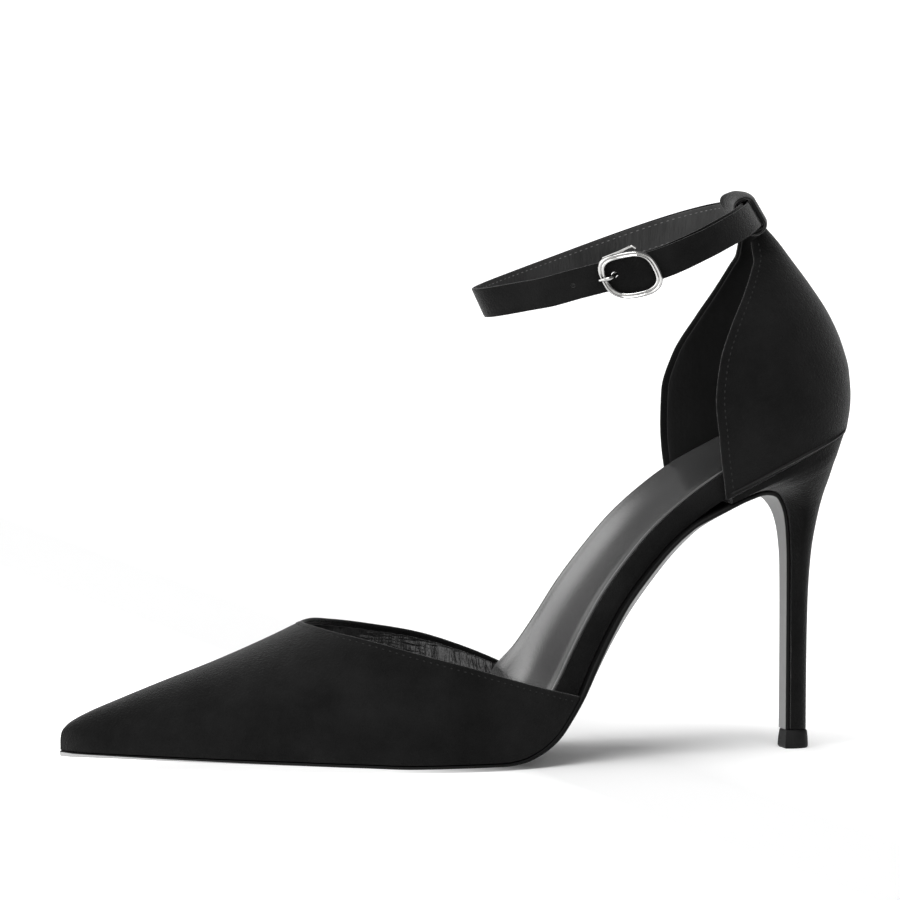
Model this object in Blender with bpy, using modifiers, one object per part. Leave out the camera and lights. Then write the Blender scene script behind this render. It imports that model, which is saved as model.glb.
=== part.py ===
"""A pointed ankle-strap pump on a slim high heel: a left shoe, about EU size 38.

The toe points to -X, the outer side of the foot is -Y, and the shoe stands on the floor z = 0.
Sizes are in millimetres; the meshes are written in metres.
"""
import math
from bisect import bisect
from collections import namedtuple

import bmesh
import bpy
from mathutils import Vector

MM = 0.001

# Fits and thicknesses
GAP = 0.3               # between neighbouring pieces
SOLE_THICK = 1.4        # down the heel's front
SOLE_EDGE_CUT = 0.55    # the forefoot's lower edges are cut up by this share of their lift
VAMP_WALL = 1.6
QUARTER_WALL = 2.0
SOCK_THICK = 1.0
BOARD_INSET = 2.6       # footbed edge inside the outline of the last
SOCK_INSET = 0.7        # sock edge inside the footbed edge
BOARD_TOE = 4.0         # from the tip of the last to the footbed's tip
SOCK_TOE = 9.0          # from the tip of the last to the sock's tip
SOCK_HEEL = 2.0         # the sock ends this much further inside at the heel

# The last: its bottom line and its half-widths on the outer and inner side of the foot
TOE_X = -128.3
LastRow = namedtuple("LastRow", "x bottom outer inner")
LAST = (
    LastRow(-128.3, 5.75, -3.0, 3.0),
    LastRow(-127.8, 5.74, -0.4, 5.6),
    LastRow(-126.4, 5.72, 2.2, 7.8),
    LastRow(-123.0, 5.65, 5.2, 10.2),
    LastRow(-115.0, 5.45, 9.8, 13.8),
    LastRow(-100.0, 4.9, 16.4, 18.8),
    LastRow(-80.0, 4.1, 23.5, 25.0),
    LastRow(-60.0, 3.3, 29.6, 31.0),
    LastRow(-40.0, 2.4, 34.4, 36.0),
    LastRow(-24.0, 1.7, 36.9, 38.0),
    LastRow(-15.0, 1.7, 37.9, 38.0),
    LastRow(-6.0, 1.7, 38.0, 37.2),
    LastRow(3.0, 1.7, 37.0, 35.2),
    LastRow(9.1, 2.5, 35.7, 33.6),
    LastRow(15.2, 4.9, 34.0, 31.7),
    LastRow(21.9, 9.5, 31.8, 29.6),
    LastRow(26.8, 15.5, 30.2, 28.0),
    LastRow(30.6, 21.3, 29.1, 27.0),
    LastRow(35.2, 30.5, 27.8, 25.9),
    LastRow(40.2, 39.7, 26.6, 25.0),
    LastRow(46.1, 49.0, 25.4, 24.2),
    LastRow(53.4, 58.2, 24.5, 23.6),
    LastRow(61.9, 67.4, 23.9, 23.4),
    LastRow(69.4, 73.7, 23.7, 23.3),
    LastRow(80.6, 81.2, 23.9, 23.6),
    LastRow(91.0, 86.5, 24.2, 24.1),
    LastRow(100.0, 91.0, 23.9, 23.9),
    LastRow(110.0, 95.6, 22.2, 22.2),
    LastRow(118.0, 98.6, 18.0, 18.0),
    LastRow(123.0, 100.1, 12.6, 12.6),
    LastRow(125.6, 100.7, 6.6, 6.6),
    LastRow(126.4, 100.9, 0.0, 0.0),
)
EDGE_LIFT = 0.85        # how far the forefoot's side edges stand off the floor
EDGE_FLAT = 0.4         # share of the half-width that stays flat on the floor
LIFT_END_X = 26.0
TIP_CUT = 0.08          # small flat at the very tip of toe and heel
NORMAL_STEP = 0.4       # half the length over which the last's slope is taken
LAST_SOLE_X = 70.0      # behind this the sole leaves the last and turns down the heel

# Thickness of the sole along the foot
SoleRow = namedtuple("SoleRow", "x thick")
SOLE = (
    SoleRow(-128.3, 0.8),
    SoleRow(-60.0, 1.4),
    SoleRow(28.0, 1.5),
    SoleRow(38.0, 2.0),
    SoleRow(48.0, 2.4),
    SoleRow(60.0, 2.1),
    SoleRow(70.0, 1.7),
)

# Footbed along the foot: thickness, rise of both edges and further rise under the inner arch
BoardRow = namedtuple("BoardRow", "x thick cup arch")
BOARD = (
    BoardRow(-128.0, 2.4, 0.0, 0.0),
    BoardRow(-40.0, 2.8, 0.0, 0.0),
    BoardRow(3.0, 4.0, 0.0, 0.6),
    BoardRow(14.0, 5.8, 0.1, 2.2),
    BoardRow(24.0, 7.0, 0.3, 4.0),
    BoardRow(30.0, 6.8, 0.4, 4.6),
    BoardRow(35.0, 6.3, 0.5, 2.4),
    BoardRow(41.0, 6.0, 0.6, 1.5),
    BoardRow(50.0, 5.8, 0.8, 1.5),
    BoardRow(62.0, 5.8, 1.0, 1.6),
    BoardRow(88.0, 5.8, 1.8, 1.2),
    BoardRow(112.0, 6.2, 2.0, 0.3),
    BoardRow(126.0, 6.4, 1.2, 0.0),
)

# Vamp: its ridge, carried on past the throat, and the height of its top edge on both sides
RidgeRow = namedtuple("RidgeRow", "x z")
RIDGE = (
    RidgeRow(-128.3, 9.6),
    RidgeRow(-127.8, 12.2),
    RidgeRow(-126.6, 13.8),
    RidgeRow(-124.6, 15.4),
    RidgeRow(-118.6, 18.4),
    RidgeRow(-111.4, 21.2),
    RidgeRow(-95.3, 27.1),
    RidgeRow(-78.9, 32.7),
    RidgeRow(-63.7, 38.5),
    RidgeRow(-50.0, 44.4),
    RidgeRow(-30.0, 54.0),
    RidgeRow(0.0, 67.5),
    RidgeRow(40.0, 85.5),
)
THROAT_X = -50.0
ToplineRow = namedtuple("ToplineRow", "x outer inner")
TOPLINE = (
    ToplineRow(-50.0, 44.4, 44.4),
    ToplineRow(-45.0, 43.0, 44.6),
    ToplineRow(-36.0, 40.8, 43.4),
    ToplineRow(-20.0, 36.2, 40.6),
    ToplineRow(-5.0, 32.0, 37.5),
    ToplineRow(8.0, 28.0, 33.3),
    ToplineRow(20.0, 24.5, 28.3),
    ToplineRow(31.0, 21.6, 22.5),
    ToplineRow(40.0, 19.0, 18.0),
)
VAMP_SIDE_POWER = 2.1   # how upright the sides of a section are
VAMP_TOP_POWER = 1.9    # how round its ridge is
RIDGE_TO_INNER = 1.5    # the ridge's shift towards the inner side of the foot
NOSE_INNER_X = 3.4      # from the tip to the end of the hollow
CROWN_START_X = -120.0  # the ridge's shift grows between these two places
CROWN_END_X = -60.0

# Quarter: levels from the seat seam up to the strap loop
QuarterRow = namedtuple("QuarterRow", "level outer_x inner_x front_y front_z back_x back_z full peak power")
QUARTER = (
    QuarterRow(0, 80.6, 77.0, 23.4, 80.0, 126.1, 100.9, 24.1, 0.36, 2.3),
    QuarterRow(1, 79.4, 75.4, 24.9, 91.0, 127.0, 106.2, 25.4, 0.34, 2.3),
    QuarterRow(2, 77.2, 73.9, 26.0, 102.0, 128.1, 112.7, 26.2, 0.28, 2.3),
    QuarterRow(3, 76.2, 74.2, 25.8, 112.5, 127.7, 119.7, 25.9, 0.22, 2.2),
    QuarterRow(4, 78.0, 77.7, 24.4, 124.5, 125.4, 128.4, 24.4, 0.14, 2.2),
    QuarterRow(5, 82.8, 84.3, 21.4, 136.0, 121.4, 137.3, 21.4, 0.08, 2.1),
    QuarterRow(6, 88.3, 89.7, 17.2, 145.4, 115.2, 146.7, 17.2, 0.05, 2.1),
    QuarterRow(7, 92.2, 92.8, 12.8, 152.4, 109.0, 154.9, 12.8, 0.03, 2.1),
    QuarterRow(8, 94.2, 94.2, 9.2, 156.9, 104.6, 160.7, 9.2, 0.03, 2.1),
    QuarterRow(9, 94.2, 94.2, 6.6, 161.5, 100.4, 165.4, 6.6, 0.03, 2.1),
)
SEAT_CURVE_LEVELS = 2.0     # the seat's curve fades out over these levels

# Heel: front flap of the sole, the heel's back and its half-width, from the seat down
HeelRow = namedtuple("HeelRow", "level flap_x flap_z flap_half back_x back_z full peak power")
HEEL = (
    HeelRow(0, 83.0, 78.5, 22.9, 125.4, 99.6, 23.9, 0.36, 2.3),
    HeelRow(1, 88.6, 80.7, 21.8, 124.5, 97.6, 23.4, 0.36, 2.3),
    HeelRow(2, 94.6, 82.0, 19.0, 123.4, 95.0, 22.3, 0.36, 2.3),
    HeelRow(3, 99.3, 81.2, 14.6, 122.1, 91.8, 20.0, 0.38, 2.2),
    HeelRow(4, 102.9, 78.6, 8.8, 120.8, 87.4, 16.4, 0.38, 2.2),
    HeelRow(5, 105.2, 74.0, 6.0, 119.0, 81.2, 12.2, 0.40, 2.1),
    HeelRow(6, 106.3, 67.5, 4.6, 117.4, 73.6, 9.2, 0.40, 2.0),
    HeelRow(7, 106.8, 58.5, 3.9, 115.7, 62.6, 6.9, 0.40, 2.0),
    HeelRow(8, 106.85, 45.0, 3.7, 114.8, 47.5, 5.4, 0.38, 2.0),
    HeelRow(9, 106.8, 27.0, 3.6, 114.5, 28.0, 4.7, 0.36, 2.0),
    HeelRow(10, 106.7, 6.1, 3.6, 114.4, 6.1, 4.5, 0.34, 2.0),
)
SEAT_FRONT_X = 82.6
SEAT_BACK_X = 125.8
SEAT_EASE = 0.1         # a little more room on the seat, which is made of short flats
HEEL_OVER_FLAP = 0.15   # the heel's front edge is a little wider than the flap

# Top piece under the heel
TipRow = namedtuple("TipRow", "z front back half")
TIP = (
    TipRow(5.8, 107.1, 114.5, 4.3),
    TipRow(4.9, 106.9, 114.9, 4.5),
    TipRow(0.6, 106.5, 115.2, 4.75),
    TipRow(0.0, 106.8, 114.9, 4.45),
)
TIP_FRONT_LESS = 0.7    # its flat front is this much narrower on each side
TIP_PEAK = 0.36
TIP_POWER = 2.2

# Ankle strap: a tilted ellipse, with its free end lying on its fixed end
RING_CENTRE = Vector((50.15, 0.0, 156.2))
RING_TILT = math.radians(16.7)
RING_LONG = 44.8
RING_WIDE = 27.7
RING_EGG = 0.33         # share by which the ring is wider behind than in front
RING_SAG = 1.55         # its sides hang this much lower than its front and back
RING_ROLL = 0.53        # and its outer side stands this much higher than its middle
RingRow = namedtuple("RingRow", "angle rise")
RING = (                # the course of its buckled side, up and down from that
    RingRow(0.0, 0.0),
    RingRow(15.0, 0.5),
    RingRow(30.0, 1.0),
    RingRow(45.0, 1.1),
    RingRow(64.0, 0.3),
    RingRow(82.0, -0.45),
    RingRow(90.0, -0.3),
    RingRow(107.0, 0.65),
    RingRow(114.0, 0.65),
    RingRow(131.0, 0.0),
    RingRow(360.0, 0.0),
)
STRAP_WIDE = 9.8
STRAP_THICK = 1.7
STRAP_OVERLAP = 2.0     # outward step of the free end
LEAN_FRONT = math.radians(25.5)
LEAN_BACK = math.radians(31.0)
BUCKLE_ANGLE = 94.4     # degrees from the back, towards the outer side
STRAP_TIP_ANGLE = -2.0  # the free end is tucked into the loop
STRAP_TIP_LESS = 0.6    # and narrows on each side between these two angles
TAPER_START_ANGLE = 90.0
TAPER_END_ANGLE = 45.0
STEP_START_ANGLE = 145.0
STEP_END_ANGLE = 115.0
FIXED_END_SETBACK = 1.2
STRAP_RINGS = 76

# Loop of the quarter over the strap and its free end
LOOP_FAR_ANGLE = -9.8    # its ends, in degrees from the back
LOOP_NEAR_ANGLE = 20.0
LOOP_WALL = 1.7
LOOP_END_WALL = 0.9     # thinner at its rolled ends
LOOP_ROUND = 0.95       # how round its outside is
LOOP_FAR_RISE = 1.0     # its top rises by this towards its far end
LOOP_HOLE_WIDE = 10.6
LOOP_HOLE_THICK = 2.5   # at its inner end, where one layer passes
LOOP_HOLE_CORNER = 0.7
LOOP_WIDEN_ANGLE = -4.0     # from here to its outer end both layers pass
LOOP_RINGS = 9

# Buckle
FRAME_HALF_LONG = 7.7
FRAME_HALF_WIDE = 6.8
FRAME_DROP = 0.6        # its middle hangs below the strap's middle
FRAME_POWER = 2.8
FRAME_WIRE = 1.0
FRAME_POINTS = 36
BAR_WIRE = 0.7
PRONG_WIRE = 0.65
PRONG_HOLE_BACK = 4.35  # from the middle bar forward to the strap's hole
PRONG_HOLE_RADIUS = 1.6
PRONG_HOLE_SIDES = 16
BarRow = namedtuple("BarRow", "across out")
BAR = (
    BarRow(-7.2, -0.75),
    BarRow(-7.2, -2.3),
    BarRow(-6.4, -3.0),
    BarRow(5.3, -3.0),
    BarRow(6.1, -2.3),
    BarRow(6.1, -0.75),
)
ProngRow = namedtuple("ProngRow", "along out")
PRONG = (
    ProngRow(-1.7, -3.0),
    ProngRow(-3.1, -2.7),
    ProngRow(-4.1, -1.5),
    ProngRow(-4.6, 0.4),
    ProngRow(-5.2, 2.2),
    ProngRow(-6.3, 3.2),
    ProngRow(-7.7, 3.4),
    ProngRow(-9.0, 3.1),
)

Finish = namedtuple("Finish", "colour roughness metallic")
SUEDE = Finish((0.011, 0.011, 0.011), 0.95, 0.0)
SOCK_LEATHER = Finish((0.09, 0.09, 0.092), 0.42, 0.0)
SOLE_LEATHER = Finish((0.36, 0.36, 0.35), 0.6, 0.0)
TIP_PLASTIC = Finish((0.02, 0.02, 0.02), 0.5, 0.0)
NICKEL = Finish((0.78, 0.77, 0.75), 0.16, 1.0)


class Profile:
    """A smooth curve through one column of a table, without overshoot."""

    def __init__(self, rows, along, column):
        self.at = [getattr(row, along) for row in rows]
        self.value = [getattr(row, column) for row in rows]
        spans = range(len(rows) - 1)
        steps = [(self.value[i + 1] - self.value[i]) / (self.at[i + 1] - self.at[i]) for i in spans]
        self.slope = [steps[0]]
        for before, after in zip(steps, steps[1:]):
            turning = before * after <= 0.0
            self.slope.append(0.0 if turning else 2.0 * before * after / (before + after))
        self.slope.append(steps[-1])

    def __call__(self, at):
        at = min(max(at, self.at[0]), self.at[-1])
        i = min(max(bisect(self.at, at) - 1, 0), len(self.at) - 2)
        span = self.at[i + 1] - self.at[i]
        t = (at - self.at[i]) / span
        start = self.value[i] * (1.0 + 2.0 * t) + self.slope[i] * span * t
        end = self.value[i + 1] * (3.0 - 2.0 * t) - self.slope[i + 1] * span * (1.0 - t)
        return start * (1.0 - t) ** 2 + end * t ** 2


last_bottom = Profile(LAST, "x", "bottom")
last_outer = Profile(LAST, "x", "outer")
last_inner = Profile(LAST, "x", "inner")
sole_thick = Profile(SOLE, "x", "thick")
board_thick = Profile(BOARD, "x", "thick")
board_cup = Profile(BOARD, "x", "cup")
board_arch = Profile(BOARD, "x", "arch")
ridge_z = Profile(RIDGE, "x", "z")
topline_outer = Profile(TOPLINE, "x", "outer")
topline_inner = Profile(TOPLINE, "x", "inner")
ring_rise = Profile(RING, "angle", "rise")
quarter = {name: Profile(QUARTER, "level", name) for name in QuarterRow._fields[1:]}
heel = {name: Profile(HEEL, "level", name) for name in HeelRow._fields[1:]}


def smoothstep(start, end, at):
    """0 before start, 1 after end, and a soft rise between."""
    t = min(max((at - start) / (end - start), 0.0), 1.0)
    return t * t * (3.0 - 2.0 * t)


def spread(count):
    """Values from 0 to 1, closer together near 1."""
    return [math.sin(0.5 * math.pi * i / (count - 1)) for i in range(count)]


def horseshoe(u, front, full, peak, power):
    """Half-width of a U-shaped outline, with u from 0 at its open front to 1 at its back."""
    if u < peak:
        return front + (full - front) * math.sin(0.5 * math.pi * u / peak)
    return full * math.sqrt(max(0.0, 1.0 - ((u - peak) / (1.0 - peak)) ** power))


# The last

def edge_lift(x, v):
    """Rise of the forefoot's edges, with v from -1 at the outer edge to 1 at the inner one."""
    share = max(0.0, (abs(v) - EDGE_FLAT) / (1.0 - EDGE_FLAT))
    return EDGE_LIFT * share ** 2 * (1.0 - smoothstep(0.0, LIFT_END_X, x))


def last_normal(x):
    """Upward normal of the last's bottom line."""
    step = NORMAL_STEP
    rise = last_bottom(x + step) - last_bottom(x - step)
    run = min(x + step, LAST[-1].x) - max(x - step, TOE_X)
    return Vector((-rise, 0.0, run)).normalized()


def last_point(x, v, outer, inner, above):
    """Point over the last's bottom line, between -outer and inner across the foot."""
    middle = (inner - outer) / 2.0
    half = (inner + outer) / 2.0
    base = Vector((x, middle + half * v, last_bottom(x) + edge_lift(x, v)))
    return base + last_normal(x) * above


def last_stations(first, final, count):
    """Places along the last, evenly spread over its curved length."""
    fine = 400
    xs = [first + (final - first) * i / fine for i in range(fine + 1)]
    travel = [0.0]
    for a, b in zip(xs, xs[1:]):
        travel.append(travel[-1] + math.hypot(b - a, last_bottom(b) - last_bottom(a)))
    stations = []
    for i in range(count):
        target = travel[-1] * i / (count - 1)
        k = min(max(bisect(travel, target) - 1, 0), fine - 1)
        share = (target - travel[k]) / (travel[k + 1] - travel[k])
        stations.append(xs[k] + (xs[k + 1] - xs[k]) * min(share, 1.0))
    return stations


STATION_COUNT = 42
STATIONS = last_stations(TOE_X, LAST[-1].x, STATION_COUNT)
END_STEPS = (0.0, 0.25, 1.0, 2.6, 5.0)      # closer stations at a rounded end
END_CLEAR = 2.0         # no shared station this close to them


def sheet_stations(first, final):
    """Shared stations between two ends, with closer ones at both ends."""
    reach = END_STEPS[-1] + END_CLEAR
    middle = [x for x in STATIONS if first + reach < x < final - reach]
    return [first + step for step in END_STEPS] + middle + [final - step for step in END_STEPS[::-1]]


# Mesh building

def add_row(bm, points):
    return [bm.verts.new(point * MM) for point in points]


def bridge(bm, row_a, row_b, closed=False):
    """Quads between two rows of the same length."""
    size = len(row_a)
    for i in range(size if closed else size - 1):
        j = (i + 1) % size
        bm.faces.new((row_a[i], row_a[j], row_b[j], row_b[i]))


def skin(bm, rows, closed=False):
    """A surface through rows of points; returns the rows of its vertices."""
    made = [add_row(bm, row) for row in rows]
    for row_a, row_b in zip(made, made[1:]):
        bridge(bm, row_a, row_b, closed)
    return made


def finish_material(name, finish):
    material = bpy.data.materials.new(name)
    material.use_nodes = True
    shader = material.node_tree.nodes["Principled BSDF"]
    shader.inputs["Base Color"].default_value = (*finish.colour, 1.0)
    shader.inputs["Roughness"].default_value = finish.roughness
    shader.inputs["Metallic"].default_value = finish.metallic
    return material


def place(name, mesh, finish, collection, smooth_angle=40.0):
    """Name a mesh, give it its finish and put it among the parts."""
    mesh.materials.clear()
    mesh.materials.append(finish_material(name, finish))
    mesh.shade_smooth()
    mesh.set_sharp_from_angle(angle=math.radians(smooth_angle))
    piece = bpy.data.objects.new(name, mesh)
    collection.objects.link(piece)
    return piece


def mesh_from(bm, name):
    """Turn a built shape into a mesh with its faces pointing out."""
    bmesh.ops.recalc_face_normals(bm, faces=bm.faces)
    mesh = bpy.data.meshes.new(name)
    bm.to_mesh(mesh)
    bm.free()
    return mesh


def slab_mesh(name, sections):
    """Closed sheet through sections, each a row of lower points and a row of upper points."""
    bm = bmesh.new()
    rings = skin(bm, [low + high[::-1] for low, high in sections], closed=True)
    for ring in (rings[0], rings[-1]):
        half = len(ring) // 2
        bridge(bm, ring[:half], ring[half:][::-1])
    return mesh_from(bm, name)


def close_across(bm, ring):
    """Close a ring with strips between its two sides, from its first and last point on."""
    for i in range((len(ring) - 1) // 2):
        strip = (ring[i], ring[i + 1], ring[-2 - i], ring[-1 - i])
        bm.faces.new(list(dict.fromkeys(strip)))


def loft_mesh(name, rings):
    """Closed body through rings, with strips of flat faces at both ends."""
    bm = bmesh.new()
    made = skin(bm, rings, closed=True)
    for ring in (made[0], made[-1]):
        close_across(bm, ring)
    return mesh_from(bm, name)


# Sole, footbed and sock

SOLE_ACROSS = (-1.0, -0.86, -0.66, -0.4, 0.0, 0.4, 0.66, 0.86, 1.0)


def sole_path():
    """Lower face of the sole: places with their half-widths, from the toe to the heel's foot."""
    path = []
    for x in [x for x in sheet_stations(TOE_X + TIP_CUT, LAST[-1].x) if x < LAST_SOLE_X]:
        base = last_point(x, 0.0, last_outer(x), last_inner(x), -GAP - sole_thick(x))
        path.append((base, last_outer(x), last_inner(x), x))
    for i in range(2 * len(HEEL) - 1):
        level = i / 2.0
        half = heel["flap_half"](level)
        base = Vector((heel["flap_x"](level), 0.0, heel["flap_z"](level)))
        path.append((base, half, half, None))
    return path


def path_normal(path, i):
    """Normal of the sole's lower face towards the foot or the heel."""
    before = path[max(i - 1, 0)][0]
    after = path[min(i + 1, len(path) - 1)][0]
    along = (after - before).normalized()
    return Vector((-along.z, 0.0, along.x))


def make_outsole(parts):
    path = sole_path()
    sections = []
    for i, (base, outer, inner, x) in enumerate(path):
        normal = path_normal(path, i)
        low, high = [], []
        for v in SOLE_ACROSS:
            lift = Vector((0.0, 0.0, edge_lift(x, v) if x is not None else 0.0))
            across = (inner - outer) / 2.0 + (inner + outer) / 2.0 * v
            point = base + Vector((0.0, across - base.y, 0.0)) + lift
            low.append(point + lift * SOLE_EDGE_CUT)
            high.append(point + normal * (SOLE_THICK if x is None else sole_thick(x)))
        sections.append((low, high))
    return place("outsole", slab_mesh("outsole", sections), SOLE_LEATHER, parts)


def inset_width(width, inset):
    """Half-width drawn in by an inset that fades out at the tips."""
    return width - inset * min(1.0, abs(width) / (3.0 * inset))


def board_top(x, v):
    """Height of the footbed's upper face over the last's bottom line."""
    return board_thick(x) + board_cup(x) * v ** 2 + board_arch(x) * max(v, 0.0) ** 2


def sheet_sections(first, final, inset, low, high):
    """Sections of a sheet inside the outline of the last, between two height functions."""
    stretch = (LAST[-1].x - TOE_X) / (final - first)
    sections = []
    for x in sheet_stations(first, final):
        on_last = min(max(TOE_X + (x - first) * stretch, TOE_X + TIP_CUT), LAST[-1].x - TIP_CUT)
        middle = (last_inner(on_last) - last_outer(on_last)) / 2.0
        half = inset_width((last_inner(on_last) + last_outer(on_last)) / 2.0, inset)
        outer, inner = half - middle, half + middle
        sections.append([[last_point(x, v, outer, inner, height(x, v)) for v in SOLE_ACROSS]
                         for height in (low, high)])
    return sections


def make_footbed(parts):
    sections = sheet_sections(TOE_X + BOARD_TOE, LAST[-1].x - BOARD_INSET, BOARD_INSET,
                              lambda x, v: 0.0, board_top)
    return place("footbed", slab_mesh("footbed", sections), SUEDE, parts)


def make_sock(parts):
    inset = BOARD_INSET + SOCK_INSET
    sections = sheet_sections(TOE_X + SOCK_TOE, LAST[-1].x - inset - SOCK_HEEL, inset,
                              lambda x, v: board_top(x, v) + GAP,
                              lambda x, v: board_top(x, v) + GAP + SOCK_THICK)
    return place("insole_sock", slab_mesh("insole_sock", sections), SOCK_LEATHER, parts)


# Vamp

VAMP_RAYS = 28
VAMP_STATIONS = 23
VAMP_STATION_POWER = 1.5    # closer stations at the nose


def vamp_point(x, angle, inward):
    """Vamp surface at x: angle 0 is the outer feather edge, pi / 2 the ridge, pi the inner edge."""
    outer = last_outer(x) - inward
    inner = last_inner(x) - inward
    crown = (inner - outer) / 2.0 + RIDGE_TO_INNER * smoothstep(CROWN_START_X, CROWN_END_X, x)
    reach = abs(math.cos(angle)) ** (2.0 / VAMP_SIDE_POWER)
    rise = max(math.sin(angle), 0.0) ** (2.0 / VAMP_TOP_POWER)
    edge = inner if angle > math.pi / 2.0 else -outer
    foot = last_bottom(x) + edge_lift(x, 1.0)
    height = ridge_z(x) - inward - foot
    return Vector((x, crown + (edge - crown) * reach, foot + height * rise))


def vamp_end(angle):
    """Where the ray at this angle meets the vamp's top edge."""
    topline = topline_inner if angle > math.pi / 2.0 else topline_outer
    low, high = THROAT_X, TOPLINE[-1].x
    for _ in range(40):
        middle = (low + high) / 2.0
        if vamp_point(middle, angle, 0.0).z < topline(middle):
            low = middle
        else:
            high = middle
    return low


def vamp_rows(first, inward):
    """Rows across the vamp from the nose to its top edge."""
    angles = [math.pi * i / VAMP_RAYS for i in range(VAMP_RAYS + 1)]
    ends = [vamp_end(angle) for angle in angles]
    rows = []
    for i in range(VAMP_STATIONS):
        t = (i / (VAMP_STATIONS - 1)) ** VAMP_STATION_POWER
        rows.append([vamp_point(first + (end - first) * t, angle, inward)
                     for angle, end in zip(angles, ends)])
    return rows


def make_vamp(parts):
    bm = bmesh.new()
    outside = skin(bm, vamp_rows(TOE_X + TIP_CUT, 0.0))
    inside = skin(bm, vamp_rows(TOE_X + NOSE_INNER_X, VAMP_WALL))
    for surface in (outside, inside):
        bm.faces.new(surface[0])
    bridge(bm, outside[-1], inside[-1])
    for side in (0, -1):
        bridge(bm, [row[side] for row in outside], [row[side] for row in inside])
    bm.faces.new((outside[0][0], outside[0][-1], inside[0][-1], inside[0][0]))
    return place("vamp", mesh_from(bm, "vamp"), SUEDE, parts)


# Quarter

QUARTER_LEVELS = 19
QUARTER_SIDE = 15


def quarter_point(level, side, u):
    """Quarter surface: u from 0 at the front edge to 1 at the back; side -1 is the outer side."""
    size = {name: profile(level) for name, profile in quarter.items()}
    front_x = size["inner_x" if side > 0 else "outer_x"]
    half = horseshoe(u, size["front_y"], size["full"], size["peak"], size["power"])
    x = front_x + (size["back_x"] - front_x) * u
    z = size["front_z"] + (size["back_z"] - size["front_z"]) * u
    seat = max(0.0, 1.0 - level / SEAT_CURVE_LEVELS)
    return Vector((x, side * half, z + (last_bottom(x) - z) * seat))


def make_quarter(parts):
    us = spread(QUARTER_SIDE)
    rows = []
    for i in range(QUARTER_LEVELS):
        level = QUARTER[-1].level * i / (QUARTER_LEVELS - 1)
        outer = [quarter_point(level, -1, u) for u in us]
        inner = [quarter_point(level, 1, u) for u in us[:-1]]
        rows.append(outer + inner[::-1])
    bm = bmesh.new()
    skin(bm, rows)
    mesh = mesh_from(bm, "quarter")
    rearmost = max(mesh.polygons, key=lambda face: face.center.x)
    if rearmost.normal.x < 0.0:
        mesh.flip_normals()
    piece = place("quarter", mesh, SUEDE, parts)
    wall = piece.modifiers.new("wall", "SOLIDIFY")
    wall.thickness = QUARTER_WALL * MM
    wall.offset = -1.0
    return piece


# Heel and top piece

HEEL_SIDE = 10


def heel_ring(front, back, half_front, full, peak, power):
    """D-shaped ring from a flat front to a round back."""
    us = spread(HEEL_SIDE)
    points = []
    for u in us:
        points.append(front.lerp(back, u) - Vector((0.0, horseshoe(u, half_front, full, peak, power), 0.0)))
    for u in us[-2::-1]:
        points.append(front.lerp(back, u) + Vector((0.0, horseshoe(u, half_front, full, peak, power), 0.0)))
    return points


def make_heel(parts):
    path = sole_path()
    first = len(path) - (2 * len(HEEL) - 1)
    top = HEEL[0]
    seat = heel_ring(Vector((SEAT_FRONT_X, 0.0, 0.0)), Vector((SEAT_BACK_X, 0.0, 0.0)),
                     top.flap_half + 2.0 * HEEL_OVER_FLAP, top.full, top.peak, top.power)
    for point in seat:
        point.z = last_bottom(point.x) - GAP - SEAT_EASE
    rings = [seat]
    for i in range(2 * len(HEEL) - 1):
        level = i / 2.0
        base, half, _, _ = path[first + i]
        front = base + path_normal(path, first + i) * (SOLE_THICK + GAP)
        back = Vector((heel["back_x"](level), 0.0, heel["back_z"](level)))
        if i == 2 * len(HEEL) - 2:
            front.z = back.z
        rings.append(heel_ring(front, back, half + HEEL_OVER_FLAP, heel["full"](level),
                               heel["peak"](level), heel["power"](level)))
    return place("heel", loft_mesh("heel", rings), SUEDE, parts)


def make_heel_tip(parts):
    rings = []
    for row in TIP:
        front = Vector((row.front, 0.0, row.z))
        back = Vector((row.back, 0.0, row.z))
        rings.append(heel_ring(front, back, row.half - TIP_FRONT_LESS, row.half, TIP_PEAK, TIP_POWER))
    return place("heel_tip", loft_mesh("heel_tip", rings), TIP_PLASTIC, parts)


# Ankle strap and its loop

def ring_centre(angle):
    """Centre line of the strap; angle in degrees, 0 at the back and 90 on the outer side."""
    turn = math.radians(angle)
    along = Vector((math.cos(RING_TILT), 0.0, math.sin(RING_TILT))) * RING_LONG * math.cos(turn)
    wide = RING_WIDE * (1.0 + RING_EGG * math.cos(turn))
    rise = RING_ROLL * math.sin(turn) - RING_SAG * math.sin(turn) ** 2 + ring_rise(angle % 360.0)
    return RING_CENTRE + along + Vector((0.0, -wide * math.sin(turn), rise))


def strap_point(angle, across, out):
    """Point of the strap: across is up its width, out is away from the ankle."""
    lean = LEAN_FRONT + (LEAN_BACK - LEAN_FRONT) * (1.0 + math.cos(math.radians(angle))) / 2.0
    up = Vector((-math.sin(lean), 0.0, math.cos(lean)))
    along = ring_centre(angle + 0.5) - ring_centre(angle - 0.5)
    outward = up.cross(along).normalized()
    return ring_centre(angle) + up * across + outward * out


def free_end_step(angle):
    """Outward step of the strap where its free end lies on its fixed end."""
    return STRAP_OVERLAP * smoothstep(360.0 - STEP_START_ANGLE, 360.0 - STEP_END_ANGLE, -angle)


def strap_edge(angle):
    """Half-width of the strap, less towards its free end."""
    taper = smoothstep(360.0 - TAPER_START_ANGLE, 360.0 - TAPER_END_ANGLE, -angle)
    return STRAP_WIDE / 2.0 - STRAP_TIP_LESS * taper


def buckle_point(along, across, out):
    """Point near the buckle: along the strap from its middle bar, and out from its outer face."""
    angle = BUCKLE_ANGLE - math.degrees(along / RING_LONG)
    return strap_point(angle, across, STRAP_OVERLAP + STRAP_THICK / 2.0 + out)


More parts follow.
